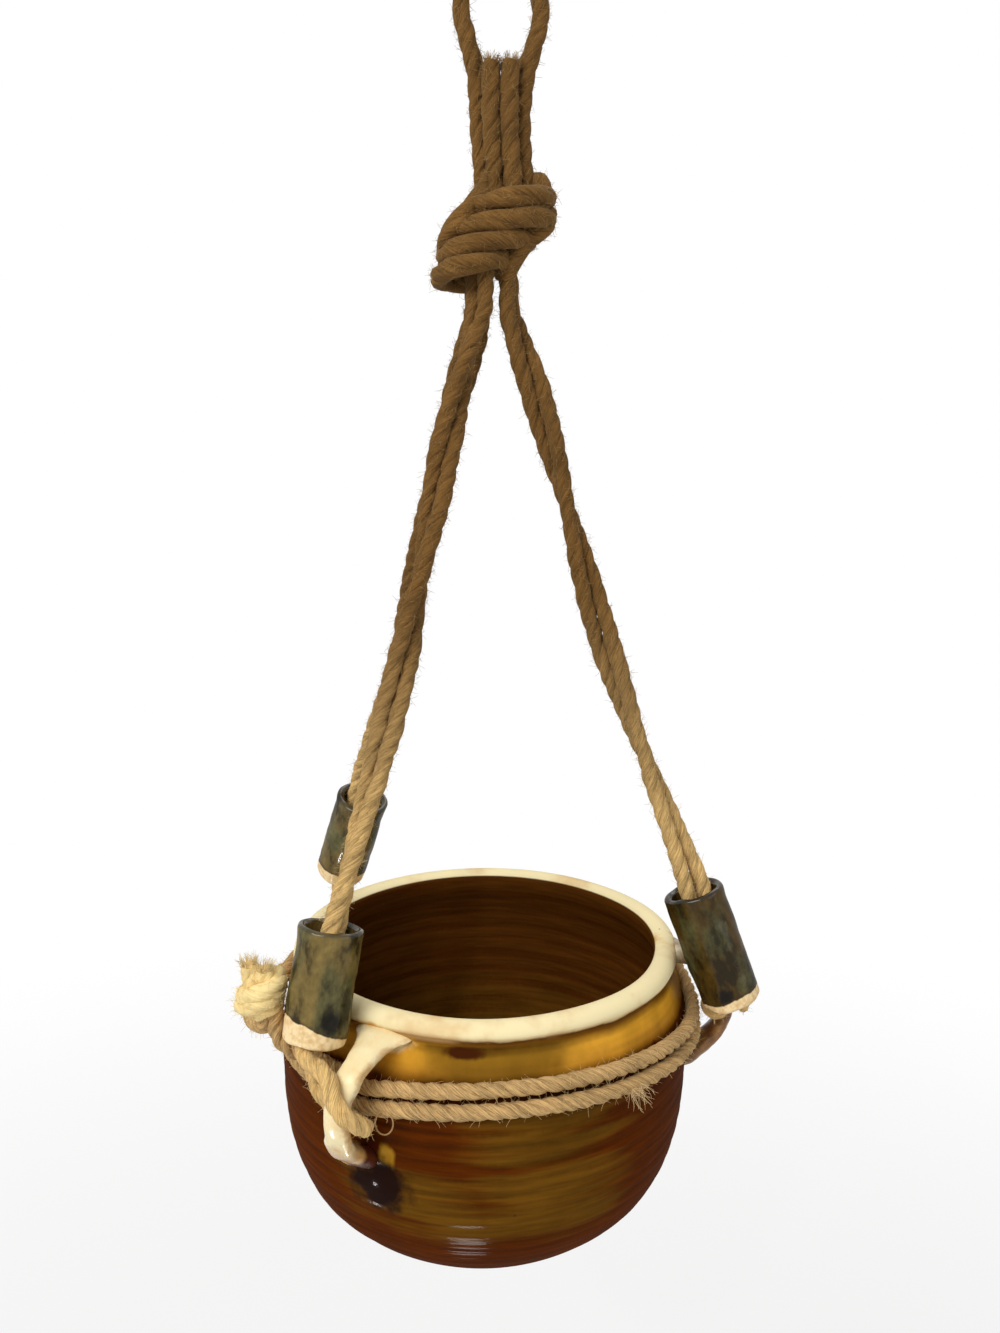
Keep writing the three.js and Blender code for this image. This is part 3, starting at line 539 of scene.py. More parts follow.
def tube_glaze(clay):
    """Ash glaze on rolled clay: glossy and clouded, olive where thin, brown where thick, black in pools. The
    right tube's brown is painted shade.
    """
    material, node = start_material("dark glazed rolled clay")
    place = node("TexCoord", out="Object")
    turn = node("Attribute", attribute_name="turn", out="Vector")
    above, thick, pool, lip = [
        node("Attribute", attribute_name=label, out="Fac")
        for label in ("above_bare", "thick", "pool", "lip")]
    # A unit of turn is about 8 mm: clouds are 12 mm wide and twice as long, mottles 5 mm and freckles 1.5 mm.
    tall = node("Mapping", turn, Scale=(1.0, 1.0, 0.5))
    clouds = node("TexNoise", tall, Scale=0.7, Detail=2.0, Roughness=0.5)
    mottles = node("TexNoise", tall, Scale=1.6, Detail=4.0, Roughness=0.6)
    freckles = node("TexNoise", turn, Scale=5.0, Detail=2.0)
    grain = node("TexNoise", place, Scale=800.0, Detail=2.0)
    greener = node("MapRange", clouds, 0.45, 0.62, 0.0, 0.62, interpolation_type="SMOOTHSTEP")
    lighter = node("MapRange", mottles, 0.3, 0.5, 1.45, 0.95)
    level = node("MapRange", freckles, 0.3, 0.7, 0.82, 1.18)
    level = node("Math", lighter, level, operation="MULTIPLY")
    darker = node("MapRange", mottles, 0.48, 0.64, 0.0, 0.8, interpolation_type="SMOOTHSTEP")
    pooled = node("Math", freckles, 0.8, pool, operation="MULTIPLY_ADD")
    black = node("MapRange", pooled, 0.7, 1.3, 0.0, 0.9, interpolation_type="SMOOTHSTEP")
    line = node("Math", mottles, 2.4, above, operation="MULTIPLY_ADD")
    foot = node("MapRange", line, 0.9, 1.4, 1.0, 0.0, interpolation_type="SMOOTHSTEP")
    halo = node("MapRange", line, 1.2, 2.4, 0.6, 0.0, interpolation_type="SMOOTHSTEP")
    warm = node("MapRange", freckles, 0.4, 0.66)
    bare = node("Mix", warm, clay.bare_clay, linear("#d6b27c"), data_type="RGBA")
    worn = node("Math", lip, 0.6, operation="MULTIPLY")
    # The thick share darkens the glaze to brown; on the right tube this is painted shade.
    colour = node("Mix", thick, clay.tube_glaze, linear("#463413"), data_type="RGBA")
    colour = node("Mix", greener, colour, linear("#4a4f33"), data_type="RGBA")
    colour = node("VectorMath", colour, level, operation="SCALE")
    for share, over in ((darker, linear("#1d180c")), (black, linear("#100c06")), (halo, linear("#3a2a14")),
                        (foot, bare), (worn, linear("#1a1712"))):
        colour = node("Mix", share, colour, over, data_type="RGBA")
    shine = node("MapRange", clouds, 0.3, 0.7, 0.16, 0.3)
    rough = node("Mix", foot, shine, 0.7)
    coat = node("MapRange", lip, 0.0, 1.0, 0.3, 0.6)
    bump = node("Bump", Strength=0.2, Distance=0.0003, Height=grain)
    surface = node("BsdfPrincipled", Base_Color=colour, Roughness=rough, IOR=1.5, Specular_IOR_Level=0.0,
                   Normal=bump, Coat_Weight=coat, Coat_Roughness=0.09, Coat_IOR=1.5, Coat_Normal=bump)
    node("OutputMaterial", surface)
    return material


def looked_at(node):
    """1 for a ray that looks at the surroundings, 0 for one that only gathers their light."""
    rays = node("LightPath").node.outputs
    seen = node("Math", rays["Is Camera Ray"], rays["Is Glossy Ray"], operation="MAXIMUM")
    return node("Math", seen, rays["Is Transmission Ray"], operation="MAXIMUM")


def floor_paint():
    """Matt white paint: it takes a soft shadow near the object and goes over into plain white far from it."""
    material, node = start_material("matt white floor paint")
    place = node("TexCoord", out="Object")
    speckle = node("TexNoise", place, Scale=30.0, Detail=3.0)
    rough = node("MapRange", speckle, 0.0, 1.0, 0.8, 0.95)
    paint = node("BsdfPrincipled", Base_Color=linear("#fbfbfa"), Roughness=rough, Specular_IOR_Level=0.1)
    white = node("Emission", (1.0, 1.0, 1.0, 1.0), 1.0)
    flat = node("VectorMath", place, (1.0, 1.0, 0.0), operation="MULTIPLY")
    far = node("VectorMath", flat, operation="LENGTH")
    share = node("MapRange", far, 0.5, 1.9, 0.6, 1.0, interpolation_type="SMOOTHSTEP")
    white_share = node("Math", share, looked_at(node), operation="MULTIPLY")
    node("OutputMaterial", node("MixShader", white_share, paint, white))
    return material


def polar(radius, azimuth, drop):
    """A point by its radius, azimuth in degrees and drop below the rim's crest, in millimetres."""
    angle = math.radians(azimuth)
    return np.array([radius * math.cos(angle), radius * math.sin(angle), -RIM_BELOW_HOOK - drop])


def flat_way(azimuth):
    """The level unit vector towards an azimuth."""
    angle = math.radians(azimuth)
    return np.array([math.cos(angle), math.sin(angle), 0.0])


def ease(value, low, high):
    """A smooth step from 0 at low to 1 at high."""
    share = np.clip((value - low) / (high - low), 0.0, 1.0)
    return share * share * (3 - 2 * share)


def smooth_route(points, between=8):
    """Points on the smooth curve through the route points, spaced by the square root of their distances."""
    points = np.asarray(points, float)
    count = len(points)
    out = []
    for i in range(count - 1):
        here, after = points[i], points[i + 1]
        before = points[i - 1] if i else 2 * here - after
        beyond = points[i + 2] if i + 2 < count else 2 * after - here
        pairs = ((before, here), (here, after), (after, beyond))
        a, b, c = [math.sqrt(max(np.linalg.norm(end - start), 1e-6)) for start, end in pairs]
        first = ((here - before) / a - (after - before) / (a + b) + (after - here) / b) * b
        last = ((after - here) / b - (beyond - here) / (b + c) + (beyond - after) / c) * b
        cubic = 2 * here - 2 * after + first + last
        square = -3 * here + 3 * after - 2 * first - last
        for k in range(between):
            t = k / between
            out.append(here + t * first + t * t * square + t ** 3 * cubic)
    out.append(points[-1])
    return np.array(out)


def spaced(points, step):
    """The same polyline with points at an even spacing of about one step."""
    points = np.asarray(points, float)
    along = np.concatenate([[0.0], np.cumsum(np.linalg.norm(np.diff(points, axis=0), axis=1))])
    count = max(2, int(round(along[-1] / step)) + 1)
    places = np.linspace(0.0, along[-1], count)
    return np.stack([np.interp(places, along, points[:, k]) for k in range(points.shape[1])], axis=1)


def softened(points, reach, step=0.5):
    """The same route with its sharp turns eased over a reach, its ends kept."""
    points = spaced(points, step)
    width = int(3 * reach / step)
    weights = np.exp(-0.5 * (np.arange(-width, width + 1) * step / reach) ** 2)
    weights /= weights.sum()
    ahead = 2 * points[0] - points[width:0:-1]
    beyond = 2 * points[-1] - points[-2:-width - 2:-1]
    padded = np.concatenate([ahead, points, beyond])
    return np.stack([np.convolve(padded[:, k], weights, "valid") for k in range(3)], axis=1)


def wall_radius(drop):
    """The bowl's outer radius between the neck and the belly."""
    share = min(max((drop - NECK_DROP) / (BELLY_DROP - NECK_DROP), 0.0), 1.0)
    return NECK_RADIUS + (BELLY_RADIUS - NECK_RADIUS) * math.sin(math.pi / 2 * share)


def belly_outline(radius, foot_radius, bottom_drop):
    """Radius and drop down the belly to the foot, closely spaced."""
    foot_share = (1 - (foot_radius / radius) ** BELLY_EXPONENT) ** (1 / BELLY_EXPONENT)
    depth = (bottom_drop - BELLY_DROP) / foot_share
    angles = np.linspace(0, 1, 3000) ** 2 * math.asin(foot_share ** (BELLY_EXPONENT / 2))
    across = radius * np.cos(angles) ** (2 / BELLY_EXPONENT)
    down = BELLY_DROP + depth * np.sin(angles) ** (2 / BELLY_EXPONENT)
    return np.stack([across, down], axis=1)


def shoulder_outline(neck_radius, belly_radius):
    """Radius and drop from the neck to the belly, closely spaced."""
    share = np.linspace(0, 1, 200)[:-1]
    across = neck_radius + (belly_radius - neck_radius) * np.sin(np.pi / 2 * share)
    return np.stack([across, NECK_DROP + (BELLY_DROP - NECK_DROP) * share], axis=1)


def bowl_radius(drop):
    """The bowl's outer radius at a drop below the belly's widest place."""
    outline = belly_outline(BELLY_RADIUS, FOOT_RADIUS, POT_HEIGHT)
    return float(np.interp(drop, outline[:, 1], outline[:, 0]))


def girdle_radius(drop):
    """Where the middle of the girdle's cord lies off the bowl's axis."""
    return (wall_radius(drop) + CLEARANCE + CORD_DIAMETER / 2) / math.cos(math.pi / GIRDLE_STEPS)


HITCH_RADIUS = girdle_radius(BELLY_DROP) + CORD_DIAMETER + CLEARANCE
STRAP_RADIUS = HITCH_RADIUS + CORD_DIAMETER / 2 + CLEARANCE + LUG_THICKNESS / 2
PAIR_SPACING = (CORD_DIAMETER + CLEARANCE) / math.cos(math.pi * LEG_TURNS / LEG_STEPS)
PAIR_RADIUS = (PAIR_SPACING + CORD_DIAMETER) / 2
TUBE_INNER = PAIR_RADIUS + TUBE_PLAY
TUBE_OUTER = TUBE_INNER + TUBE_WALL
HITCH_OUT = STRAP_RADIUS - HITCH_RADIUS + (LUG_THICKNESS + CORD_DIAMETER + 1) / 2 + CLEARANCE
HITCH_ASIDE = LUG_WIDTH / 2 + CLEARANCE + CORD_DIAMETER / 2 + 1


def leg_line(leg):
    """A leg's line from the tube's foot to the knot, and the directions across it."""
    radius = HITCH_RADIUS + leg["foot_out"]
    offset = math.asin((TUBE_OUTER + LUG_WIDTH / 2 + 0.6) / radius)
    azimuth = leg["azimuth"] + leg["side"] * math.degrees(offset)
    foot = polar(radius, azimuth, leg["foot_drop"])
    head = LEG_HEAD_RADIUS * flat_way(azimuth) + np.array([0, 0, LEG_HEAD_HEIGHT])
    length = np.linalg.norm(head - foot)
    up = (head - foot) / length
    sideways = flat_way(azimuth + 90)
    return dict(foot=foot, up=up, length=length, sideways=sideways, outward=np.cross(sideways, up))


def strand_points(leg, sign, bow):
    """One of the two strands of a leg, from the tube's foot up into the knot."""
    line = leg_line(leg)
    clear = leg["tube_length"] / line["length"]
    points = []
    for i in range(4 * LEG_STEPS + 1):
        share = i / (4 * LEG_STEPS)
        turn = 2 * math.pi * LEG_TURNS * share ** LEG_TWIST_LAG
        free = max(0.0, (share - clear) / (1 - clear))
        point = line["foot"] + line["up"] * line["length"] * share
        point = point - line["outward"] * bow * leg["slack"] * math.sin(math.pi * free ** 0.8) ** 2
        point[0] += leg["head_shift"] * float(ease(free, 0.78, 1.0))
        apart = sign * (PAIR_SPACING - 0.8 * float(ease(free, 0.0, 0.15))) / 2
        points.append(point + apart * (line["outward"] * math.cos(turn) + line["sideways"] * math.sin(turn)))
    top = points[-1]
    points.append(np.array([top[0], top[1], KNOT_BOTTOM - CLEARANCE]))
    points.append(np.array([0.8 * top[0], 0.8 * top[1], KNOT_BOTTOM + 8]))
    return points


def bend_points(start, leaving, end, arriving):
    """Points on the bend between two places, left and reached in given directions."""
    reach = 0.42 * np.linalg.norm(end - start)
    first = start + leaving * reach
    second = end - arriving * reach
    points = []
    for t in (0.2, 0.4, 0.6, 0.8):
        near = (1 - t) ** 3 * start + 3 * (1 - t) ** 2 * t * first
        points.append(near + 3 * (1 - t) * t * t * second + t ** 3 * end)
    return points


def leg_route(leg, bow):
    """A leg's whole cord: down one strand, through the lug's eye, over its face, up the other strand."""
    up = leg_line(leg)["up"]
    inner = strand_points(leg, -1, bow)
    outer = strand_points(leg, 1, bow)
    radial, tangent = flat_way(leg["azimuth"]), flat_way(leg["azimuth"] + 90)
    hitch = []
    for out, near, drop in leg["hitch"]:
        point = polar(HITCH_RADIUS, leg["azimuth"], HITCH_DROP + leg["lug_drop"] + drop)
        hitch.append(point + radial * HITCH_OUT * out + tangent * leg["side"] * HITCH_ASIDE * near)
    entering = (hitch[1] - hitch[0]) / np.linalg.norm(hitch[1] - hitch[0])
    leaving = (hitch[-1] - hitch[-2]) / np.linalg.norm(hitch[-1] - hitch[-2])
    down_bend = bend_points(inner[0], -up, hitch[0], entering)
    rising = leaving + 0.9 * up
    up_bend = bend_points(hitch[-1], rising / np.linalg.norm(rising), outer[0], up)
    return inner[::-1] + down_bend + hitch + up_bend + outer


def girdle_dip(azimuth):
    """How far the girdle lies below its top level: held down in the lugs, climbing between them."""
    behind = min(LEGS, key=lambda leg: (azimuth - leg["azimuth"]) % 360)
    ahead = min(LEGS, key=lambda leg: (leg["azimuth"] - azimuth) % 360)
    past, left = (azimuth - behind["azimuth"]) % 360, (ahead["azimuth"] - azimuth) % 360
    share = past / max(past + left, 1)
    climb = math.sin(math.pi * share ** (math.log(0.5) / math.log(GIRDLE_CREST)))
    return behind["girdle_dip"] + (ahead["girdle_dip"] - behind["girdle_dip"]) * share - GIRDLE_RISE * climb


def girdle_ends(sign):
    """The last stretch of one end of the girdle, up into the stopper knot."""
    aside = flat_way(STOPPER_AZIMUTH + 90) * sign * STOPPER_END_SPACING / 2
    mouth = STOPPER_BOTTOM_DROP + CLEARANCE
    return [polar(STOPPER_RADIUS - STOPPER_END_SPACING / 2, STOPPER_AZIMUTH, drop) + aside
            for drop in (STOPPER_BOTTOM_DROP - 3, mouth, mouth + CORD_DIAMETER)]


def girdle_route():
    """The girdle: from the stopper knot into the front left lug, twice round the bowl, and out again."""
    turns = []
    for i in range(70):
        azimuth = LEGS[0]["azimuth"] + 360 * i / GIRDLE_STEPS
        lowered = (GIRDLE_LOW_DROP - GIRDLE_TOP_DROP) * float(ease(i, 31, 37))
        level = GIRDLE_TOP_DROP + lowered + girdle_dip(azimuth)
        turns.append(polar(girdle_radius(level), azimuth, level))
    start, end = [[polar(girdle_radius(drop) + out, azimuth, drop) for azimuth, out, drop in stretch]
                  for stretch in (GIRDLE_START, GIRDLE_END)]
    return girdle_ends(1) + start + turns + end + girdle_ends(-1)[::-1]


def neck_lean(height):
    """How far the neck leans over to the right where it goes into the knot."""
    return 1.4 * float(ease(height, -48, -70))


def loop_route(side, aside):
    """One hanging loop, from the knot round the crown and back, its feet inside the knot and set aside."""
    left, right = [[
        np.array([shift + sign * x + neck_lean(z) - aside * float(ease(z, -30, -45)), y, z])
        for x, shift, y, z in side] for sign in (-1, 1)]
    inside = np.array([0, 0, -9.0])
    return [left[0] + inside] + left + right[-2::-1] + [right[0] + inside]


def tail_route(sign):
    """A cut tail, standing up in front of the neck, with its foot inside the knot."""
    foot = KNOT_TOP + CLEARANCE
    points = []
    for share in (-0.24, 0.0, 0.35, 0.7, 1.0):
        lean = 0.15 * CORD_DIAMETER * max(share, 0.0)
        x = NECK_SHIFT + sign * (CORD_DIAMETER / 2 + CLEARANCE) + neck_lean(foot + TAIL_LENGTH * share)
        points.append(np.array([x, -0.84 * CORD_DIAMETER - lean, foot + TAIL_LENGTH * share]))
    return points


def coil_route(centre, wides, shifts, deep, turns, low, high, tilt, start, tuck):
    """A coil of cord with both ends tucked in. Half widths and shifts of its middle go from low to high."""
    points = []
    count = int(turns * 26)
    places = np.linspace(0.12, 0.87, len(wides))
    for i in range(count + 1):
        share = i / count
        angle = math.radians(start) + 2 * math.pi * turns * share
        out = 0.4 + 0.6 * float(ease(share, 0.0, tuck)) * float(ease(share, 1.0, 1.0 - tuck))
        x = float(np.interp(share, places, wides)) * out * math.cos(angle)
        z = low + (high - low) * share + x * math.tan(math.radians(tilt))
        shift = float(np.interp(share, places, shifts))
        points.append(np.asarray(centre) + np.array([x + shift, deep * out * math.sin(angle), z]))
    return points


def link(piece):
    """Put a new object into the scene."""
    bpy.context.scene.collection.objects.link(piece)
    return piece


def wire(name, routes):
    """A carrier of bare edges along routes in millimetres, for a node tree to dress."""
    points, edges = [], []
    for route in routes:
        first = len(points)
        points.extend((np.asarray(route) / 1000).tolist())
        edges.extend((k, k + 1) for k in range(first, len(points) - 1))
    mesh = bpy.data.meshes.new(name)
    mesh.from_pydata(points, edges, [])
    return link(bpy.data.objects.new(name, mesh))


def run_nodes(carrier, tree, values, name):
    """Run a node tree on a carrier and keep the result as a plain mesh piece."""
    modifier = carrier.modifiers.new("nodes", "NODES")
    modifier.node_group = tree
    sockets = {item.name: item.identifier for item in tree.interface.items_tree if item.in_out == "INPUT"}
    for key, value in values.items():
        modifier[sockets[key]] = value
    graph = bpy.context.evaluated_depsgraph_get()
    mesh = bpy.data.meshes.new_from_object(
        carrier.evaluated_get(graph), preserve_all_data_layers=True, depsgraph=graph)
    if not len(mesh.polygons):
        raise RuntimeError(name + " came out of its node tree with no faces")
    mesh.name = name
    carrier.modifiers.remove(modifier)
    bpy.data.objects.remove(carrier)
    return link(bpy.data.objects.new(name, mesh))


def start_tree(name, sizes):
    """Start a node tree with a geometry input and output and named inputs for its sizes and its material."""
    tree = bpy.data.node_groups.new(name, "GeometryNodeTree")
    tree.interface.new_socket("Geometry", in_out="INPUT", socket_type="NodeSocketGeometry")
    for label, usual in sizes.items():
        kind = "NodeSocketInt" if isinstance(usual, int) else "NodeSocketFloat"
        tree.interface.new_socket(label, in_out="INPUT", socket_type=kind).default_value = usual
    tree.interface.new_socket("Material", in_out="INPUT", socket_type="NodeSocketMaterial")
    tree.interface.new_socket("Geometry", in_out="OUTPUT", socket_type="NodeSocketGeometry")
    return tree, partial(add, tree), tree.nodes.new("NodeGroupInput").outputs


def end_tree(node, geometry, material):
    """End a node tree: smooth, realized, with its material."""
    smooth = node("GeometryNodeSetShadeSmooth", geometry)
    real = node("GeometryNodeRealizeInstances", smooth)
    node("NodeGroupOutput", node("GeometryNodeSetMaterial", real, Material=material))


def rope_tree():
    """Three strands laid round a path, with each place's length along the cord and place round its strand."""
    name = "three strand cord"
    if name in bpy.data.node_groups:
        return bpy.data.node_groups[name]
    tree, node, given = start_tree(name, {
        "Diameter": 0.0055, "Lay Length": 0.0155, "Plumpness": 0.54, "Step": 0.0009, "Unevenness": 0.0003,
        "Seed": 1.0})
    curve = node("GeometryNodeMeshToCurve", given["Geometry"])
    even = node("GeometryNodeResampleCurve", curve, Length=given["Step"], mode="LENGTH")
    kept = node("GeometryNodeDuplicateElements", even, Amount=3, domain="SPLINE")
    ply = kept.node.outputs["Duplicate Index"]
    along = node("GeometryNodeSplineParameter", out="Length")
    for label, value in (("along", along), ("ply", ply)):
        kept = node("GeometryNodeStoreNamedAttribute", kept, Name=label, Value=value,
                    data_type="FLOAT", domain="POINT")
    turns = node("Math", along, given["Lay Length"], operation="DIVIDE")
    thirds = node("Math", ply, 1 / 3, turns, operation="MULTIPLY_ADD")
    place = node("GeometryNodeInputPosition")
    loose = node("TexNoise", place, given["Seed"], Scale=55.0, Detail=1.0, noise_dimensions="4D")
    slack = node("Math", loose, 0.5, thirds, operation="MULTIPLY_ADD")
    angle = node("Math", slack, 2 * math.pi, operation="MULTIPLY")
    normal = node("GeometryNodeInputNormal")
    tangent = node("GeometryNodeInputTangent")
    aside = node("VectorMath", tangent, normal, operation="CROSS_PRODUCT")
    one_way = node("VectorMath", normal, node("Math", angle, operation="COSINE"), operation="SCALE")
    other_way = node("VectorMath", aside, node("Math", angle, operation="SINE"), operation="SCALE")
    round_way = node("VectorMath", one_way, other_way, operation="ADD")
    half = node("Math", given["Diameter"], 0.5, operation="MULTIPLY")
    strand_radius = node("Math", half, given["Plumpness"], operation="MULTIPLY")
    off_middle = node("Math", half, strand_radius, operation="SUBTRACT")
    offset = node("VectorMath", round_way, off_middle, operation="SCALE")
    wander = node("TexNoise", place, given["Seed"], Scale=90.0, Detail=1.0, noise_dimensions="4D",
                  out="Color")
    centred = node("VectorMath", wander, (0.5, 0.5, 0.5), operation="SUBTRACT")
    drift = node("VectorMath", centred, given["Unevenness"], operation="SCALE")
    laid = node("GeometryNodeSetPosition", kept, Offset=node("VectorMath", offset, drift, operation="ADD"))
    ring = node("GeometryNodeCurvePrimitiveCircle", Resolution=9, Radius=1.0)
    marked = node("GeometryNodeStoreNamedAttribute", ring, Name="section",
                  Value=node("GeometryNodeInputPosition"), data_type="FLOAT_VECTOR", domain="POINT")
    swell = node("MapRange", loose, 0.3, 0.7, 0.9, 1.08)
    scale = node("Math", strand_radius, swell, operation="MULTIPLY")
    skin = node("GeometryNodeCurveToMesh", laid, marked, Scale=scale, Fill_Caps=True)
    end_tree(node, skin, given["Material"])
    return tree


def fibre_tree():
    """Short bent fibres growing out of a surface, lying along it or standing up from it."""
    name = "stray fibres"
    if name in bpy.data.node_groups:
        return bpy.data.node_groups[name]
    tree, node, given = start_tree(name, {
        "Density": 70000.0, "Fibre Length": 0.005, "Fibre Radius": 0.00006, "Stand": 0.0, "Seed": 1})
    spots = node("GeometryNodeDistributePointsOnFaces", given["Geometry"], Density=given["Density"],
                 Seed=given["Seed"], distribute_method="RANDOM")
    bend_x, bend_z, tip_x, tip_z = [
        node("MapRange", given["Stand"], 0.0, 1.0, lying, standing)
        for lying, standing in ((0.5, 0.06), (0.08, 0.55), (0.94, 0.3), (0.34, 0.95))]
    middle = node("CombineXYZ", X=bend_x, Z=bend_z)
    tip = node("CombineXYZ", tip_x, 0.12, tip_z)
    fibre = node("GeometryNodeCurveQuadraticBezier", Resolution=4, Start=(0.0, 0.0, 0.0), Middle=middle,
                 End=tip)
    spin = node("FunctionNodeRandomValue", (-0.25, -0.25, 0.0), (0.25, 0.25, 2 * math.pi), Seed=given["Seed"],
                data_type="FLOAT_VECTOR")
    turn = node("FunctionNodeEulerToRotation", spin)
    way = node("FunctionNodeRotateRotation", spots.node.outputs["Rotation"], turn, rotation_space="LOCAL")
    share = node("FunctionNodeRandomValue", 0.35, 1.5, Seed=given["Seed"], data_type="FLOAT")
    size = node("Math", share, given["Fibre Length"], operation="MULTIPLY")
    grown = node("GeometryNodeInstanceOnPoints", spots, Instance=fibre, Rotation=way, Scale=size)
    real = node("GeometryNodeRealizeInstances", grown)
    place = node("GeometryNodeInputPosition")
    curl = node("TexNoise", place, Scale=330.0, Detail=1.0, out="Color")
    centred = node("VectorMath", curl, (0.5, 0.5, 0.5), operation="SUBTRACT")
    drift = node("VectorMath", centred, 0.0016, operation="SCALE")
    factor = node("GeometryNodeSplineParameter", out="Factor")
    freed = node("VectorMath", drift, factor, operation="SCALE")
    curled = node("GeometryNodeSetPosition", real, Offset=freed)
    ring = node("GeometryNodeCurvePrimitiveCircle", Resolution=3, Radius=1.0)
    taper = node("MapRange", factor, 0.0, 1.0, 1.0, 0.5)
    thick = node("Math", taper, given["Fibre Radius"], operation="MULTIPLY")
    skin = node("GeometryNodeCurveToMesh", curled, ring, Scale=thick, Fill_Caps=True)
    end_tree(node, skin, given["Material"])
    return tree


def ridge_tree():
    """Throwing ridges: a slow spiral of low ridges on a turned wall, kept as an attribute for the glaze."""
    tree, node, given = start_tree("throwing ridges", {"Pitch": 0.0031, "Depth": 0.0003, "Seed": 1.0})
    place = node("GeometryNodeInputPosition")
    parts = node("SeparateXYZ", place).node.outputs
    mask, stretch, way = [
        node("GeometryNodeInputNamedAttribute", Name=label, data_type="FLOAT")
        for label in ("ridged", "ridge_stretch", "outline_run")]
    angle = node("Math", parts["Y"], parts["X"], operation="ARCTAN2")
    pitch = node("Math", given["Pitch"], stretch, operation="MULTIPLY")
    steps = node("Math", way, pitch, operation="DIVIDE")
    spiral = node("Math", angle, 1 / (2 * math.pi), steps, operation="MULTIPLY_ADD")
    level = node("CombineXYZ", Z=steps)
    nearby = node("VectorMath", place, (9.0, 9.0, 0.0), operation="MULTIPLY")
    where = node("VectorMath", level, nearby, operation="ADD")
    slow = node("TexNoise", where, given["Seed"], Scale=0.42, Detail=1.0, noise_dimensions="4D")
    quick = node("TexNoise", where, given["Seed"], Scale=1.7, Detail=2.0, noise_dimensions="4D")
    drift = node("Math", slow, 2.4, spiral, operation="MULTIPLY_ADD")
    phase = node("Math", drift, 2 * math.pi, operation="MULTIPLY")
    wave = node("Math", phase, operation="SINE")
    rough = node("MapRange", quick, 0.3, 0.7, -0.75, 0.75)
    ridge = node("Math", wave, 0.55, rough, operation="MULTIPLY_ADD")
    masked = node("Math", ridge, mask, operation="MULTIPLY")
    lift = node("Math", masked, given["Depth"], operation="MULTIPLY")
    offset = node("VectorMath", node("GeometryNodeInputNormal"), lift, operation="SCALE")
    shown = node("Math", ridge, 0.42, 0.5, operation="MULTIPLY_ADD")
    kept = node("GeometryNodeStoreNamedAttribute", given["Geometry"], Name="ridge", Value=shown,
                data_type="FLOAT", domain="POINT")
    moved = node("GeometryNodeSetPosition", kept, Offset=offset)
    end_tree(node, moved, given["Material"])
    return tree


def rope(name, routes, material, lay, plump, diameter=CORD_DIAMETER, seed=1.0, uneven=FIRM_UNEVENNESS):
    """Lay three strand cord along routes in millimetres."""
    return run_nodes(wire(name + "_wire", routes), rope_tree(), {
        "Diameter": diameter / 1000, "Lay Length": lay, "Plumpness": plump, "Step": ROPE_STEP / 1000,
        "Unevenness": uneven / 1000, "Seed": seed, "Material": material}, name)


def fuzz(name, piece, cord, seed, dense=1.0, material=None):
    """Grow stray fibres on a cord."""
    carrier = link(bpy.data.objects.new(name + "_ground", piece.data.copy()))
    return run_nodes(carrier, fibre_tree(), {
        "Density": cord.fibre_density * dense, "Fibre Length": cord.fibre_length,
        "Fibre Radius": STRAY_FIBRE_RADIUS / 1000, "Stand": 0.0, "Seed": seed,
        "Material": material or jute_fibre()}, name)


def frayed_ends(name, ends, seed, length, density=5.0e6, material=None):
    """Grow a brush of opened fibres on cut ends, each a point, a direction and a radius in millimetres."""
    points, faces = [], []
    sides = 12
    for place, way, radius in ends:
        way = np.asarray(way, float) / np.linalg.norm(way)
        first = np.cross(way, [0.31, 0.87, 0.39])
        first /= np.linalg.norm(first)
        second = np.cross(way, first)
        start = len(points)
        for k in range(sides):
            turn = 2 * math.pi * k / sides
            points.append(tuple((place + radius * (first * math.cos(turn) + second * math.sin(turn))) / 1000))
        points.append(tuple((place + way * radius * 0.5) / 1000))
        faces.extend((start + k, start + (k + 1) % sides, start + sides) for k in range(sides))
    mesh = bpy.data.meshes.new(name + "_ground")
    mesh.from_pydata(points, [], faces)
    carrier = link(bpy.data.objects.new(name + "_ground", mesh))
    return run_nodes(carrier, fibre_tree(), {
        "Density": density, "Fibre Length": length, "Fibre Radius": FRAYED_FIBRE_RADIUS / 1000,
        "Stand": 1.0, "Seed": seed, "Material": material or jute_fibre()}, name)


def ring_faces(rings, sides, closed=False):
    """Quads between rings of points that go round the same way."""
    faces = []
    for i in range(rings if closed else rings - 1):
        here, after = i * sides, ((i + 1) % rings) * sides
        for k in range(sides):
            nearby = (k + 1) % sides
            faces.append((here + k, here + nearby, after + nearby, after + k))
    return faces


def over_rings(values, sides):
    """Spread an outline's values over its rings of points, and its two ends' over the two middle points."""
    return np.concatenate([np.repeat(values[1:-1], sides), values[[0, -1]]])


def clay_piece(name, points, faces, material, attributes):
    """Make a smooth mesh piece, faces outward, from points in millimetres, with its point attributes."""
    mesh = bpy.data.meshes.new(name)
    mesh.from_pydata((np.asarray(points) / 1000).tolist(), [], faces)
    for label, values in attributes.items():
        values = np.asarray(values, np.float32)
        kind, field = ("FLOAT", "value") if values.ndim == 1 else ("FLOAT_VECTOR", "vector")
        mesh.attributes.new(label, kind, "POINT").data.foreach_set(field, values.ravel())
    mesh.calc_loop_triangles()
    corners = np.array([t.vertices for t in mesh.loop_triangles])
    places = np.asarray(points)[corners]
    if np.einsum("ij,ij->i", places[:, 0], np.cross(places[:, 1], places[:, 2])).sum() < 0:
        mesh.flip_normals()
    mesh.shade_smooth()
    if material is not None:
        mesh.materials.append(material)
    return link(bpy.data.objects.new(name, mesh))


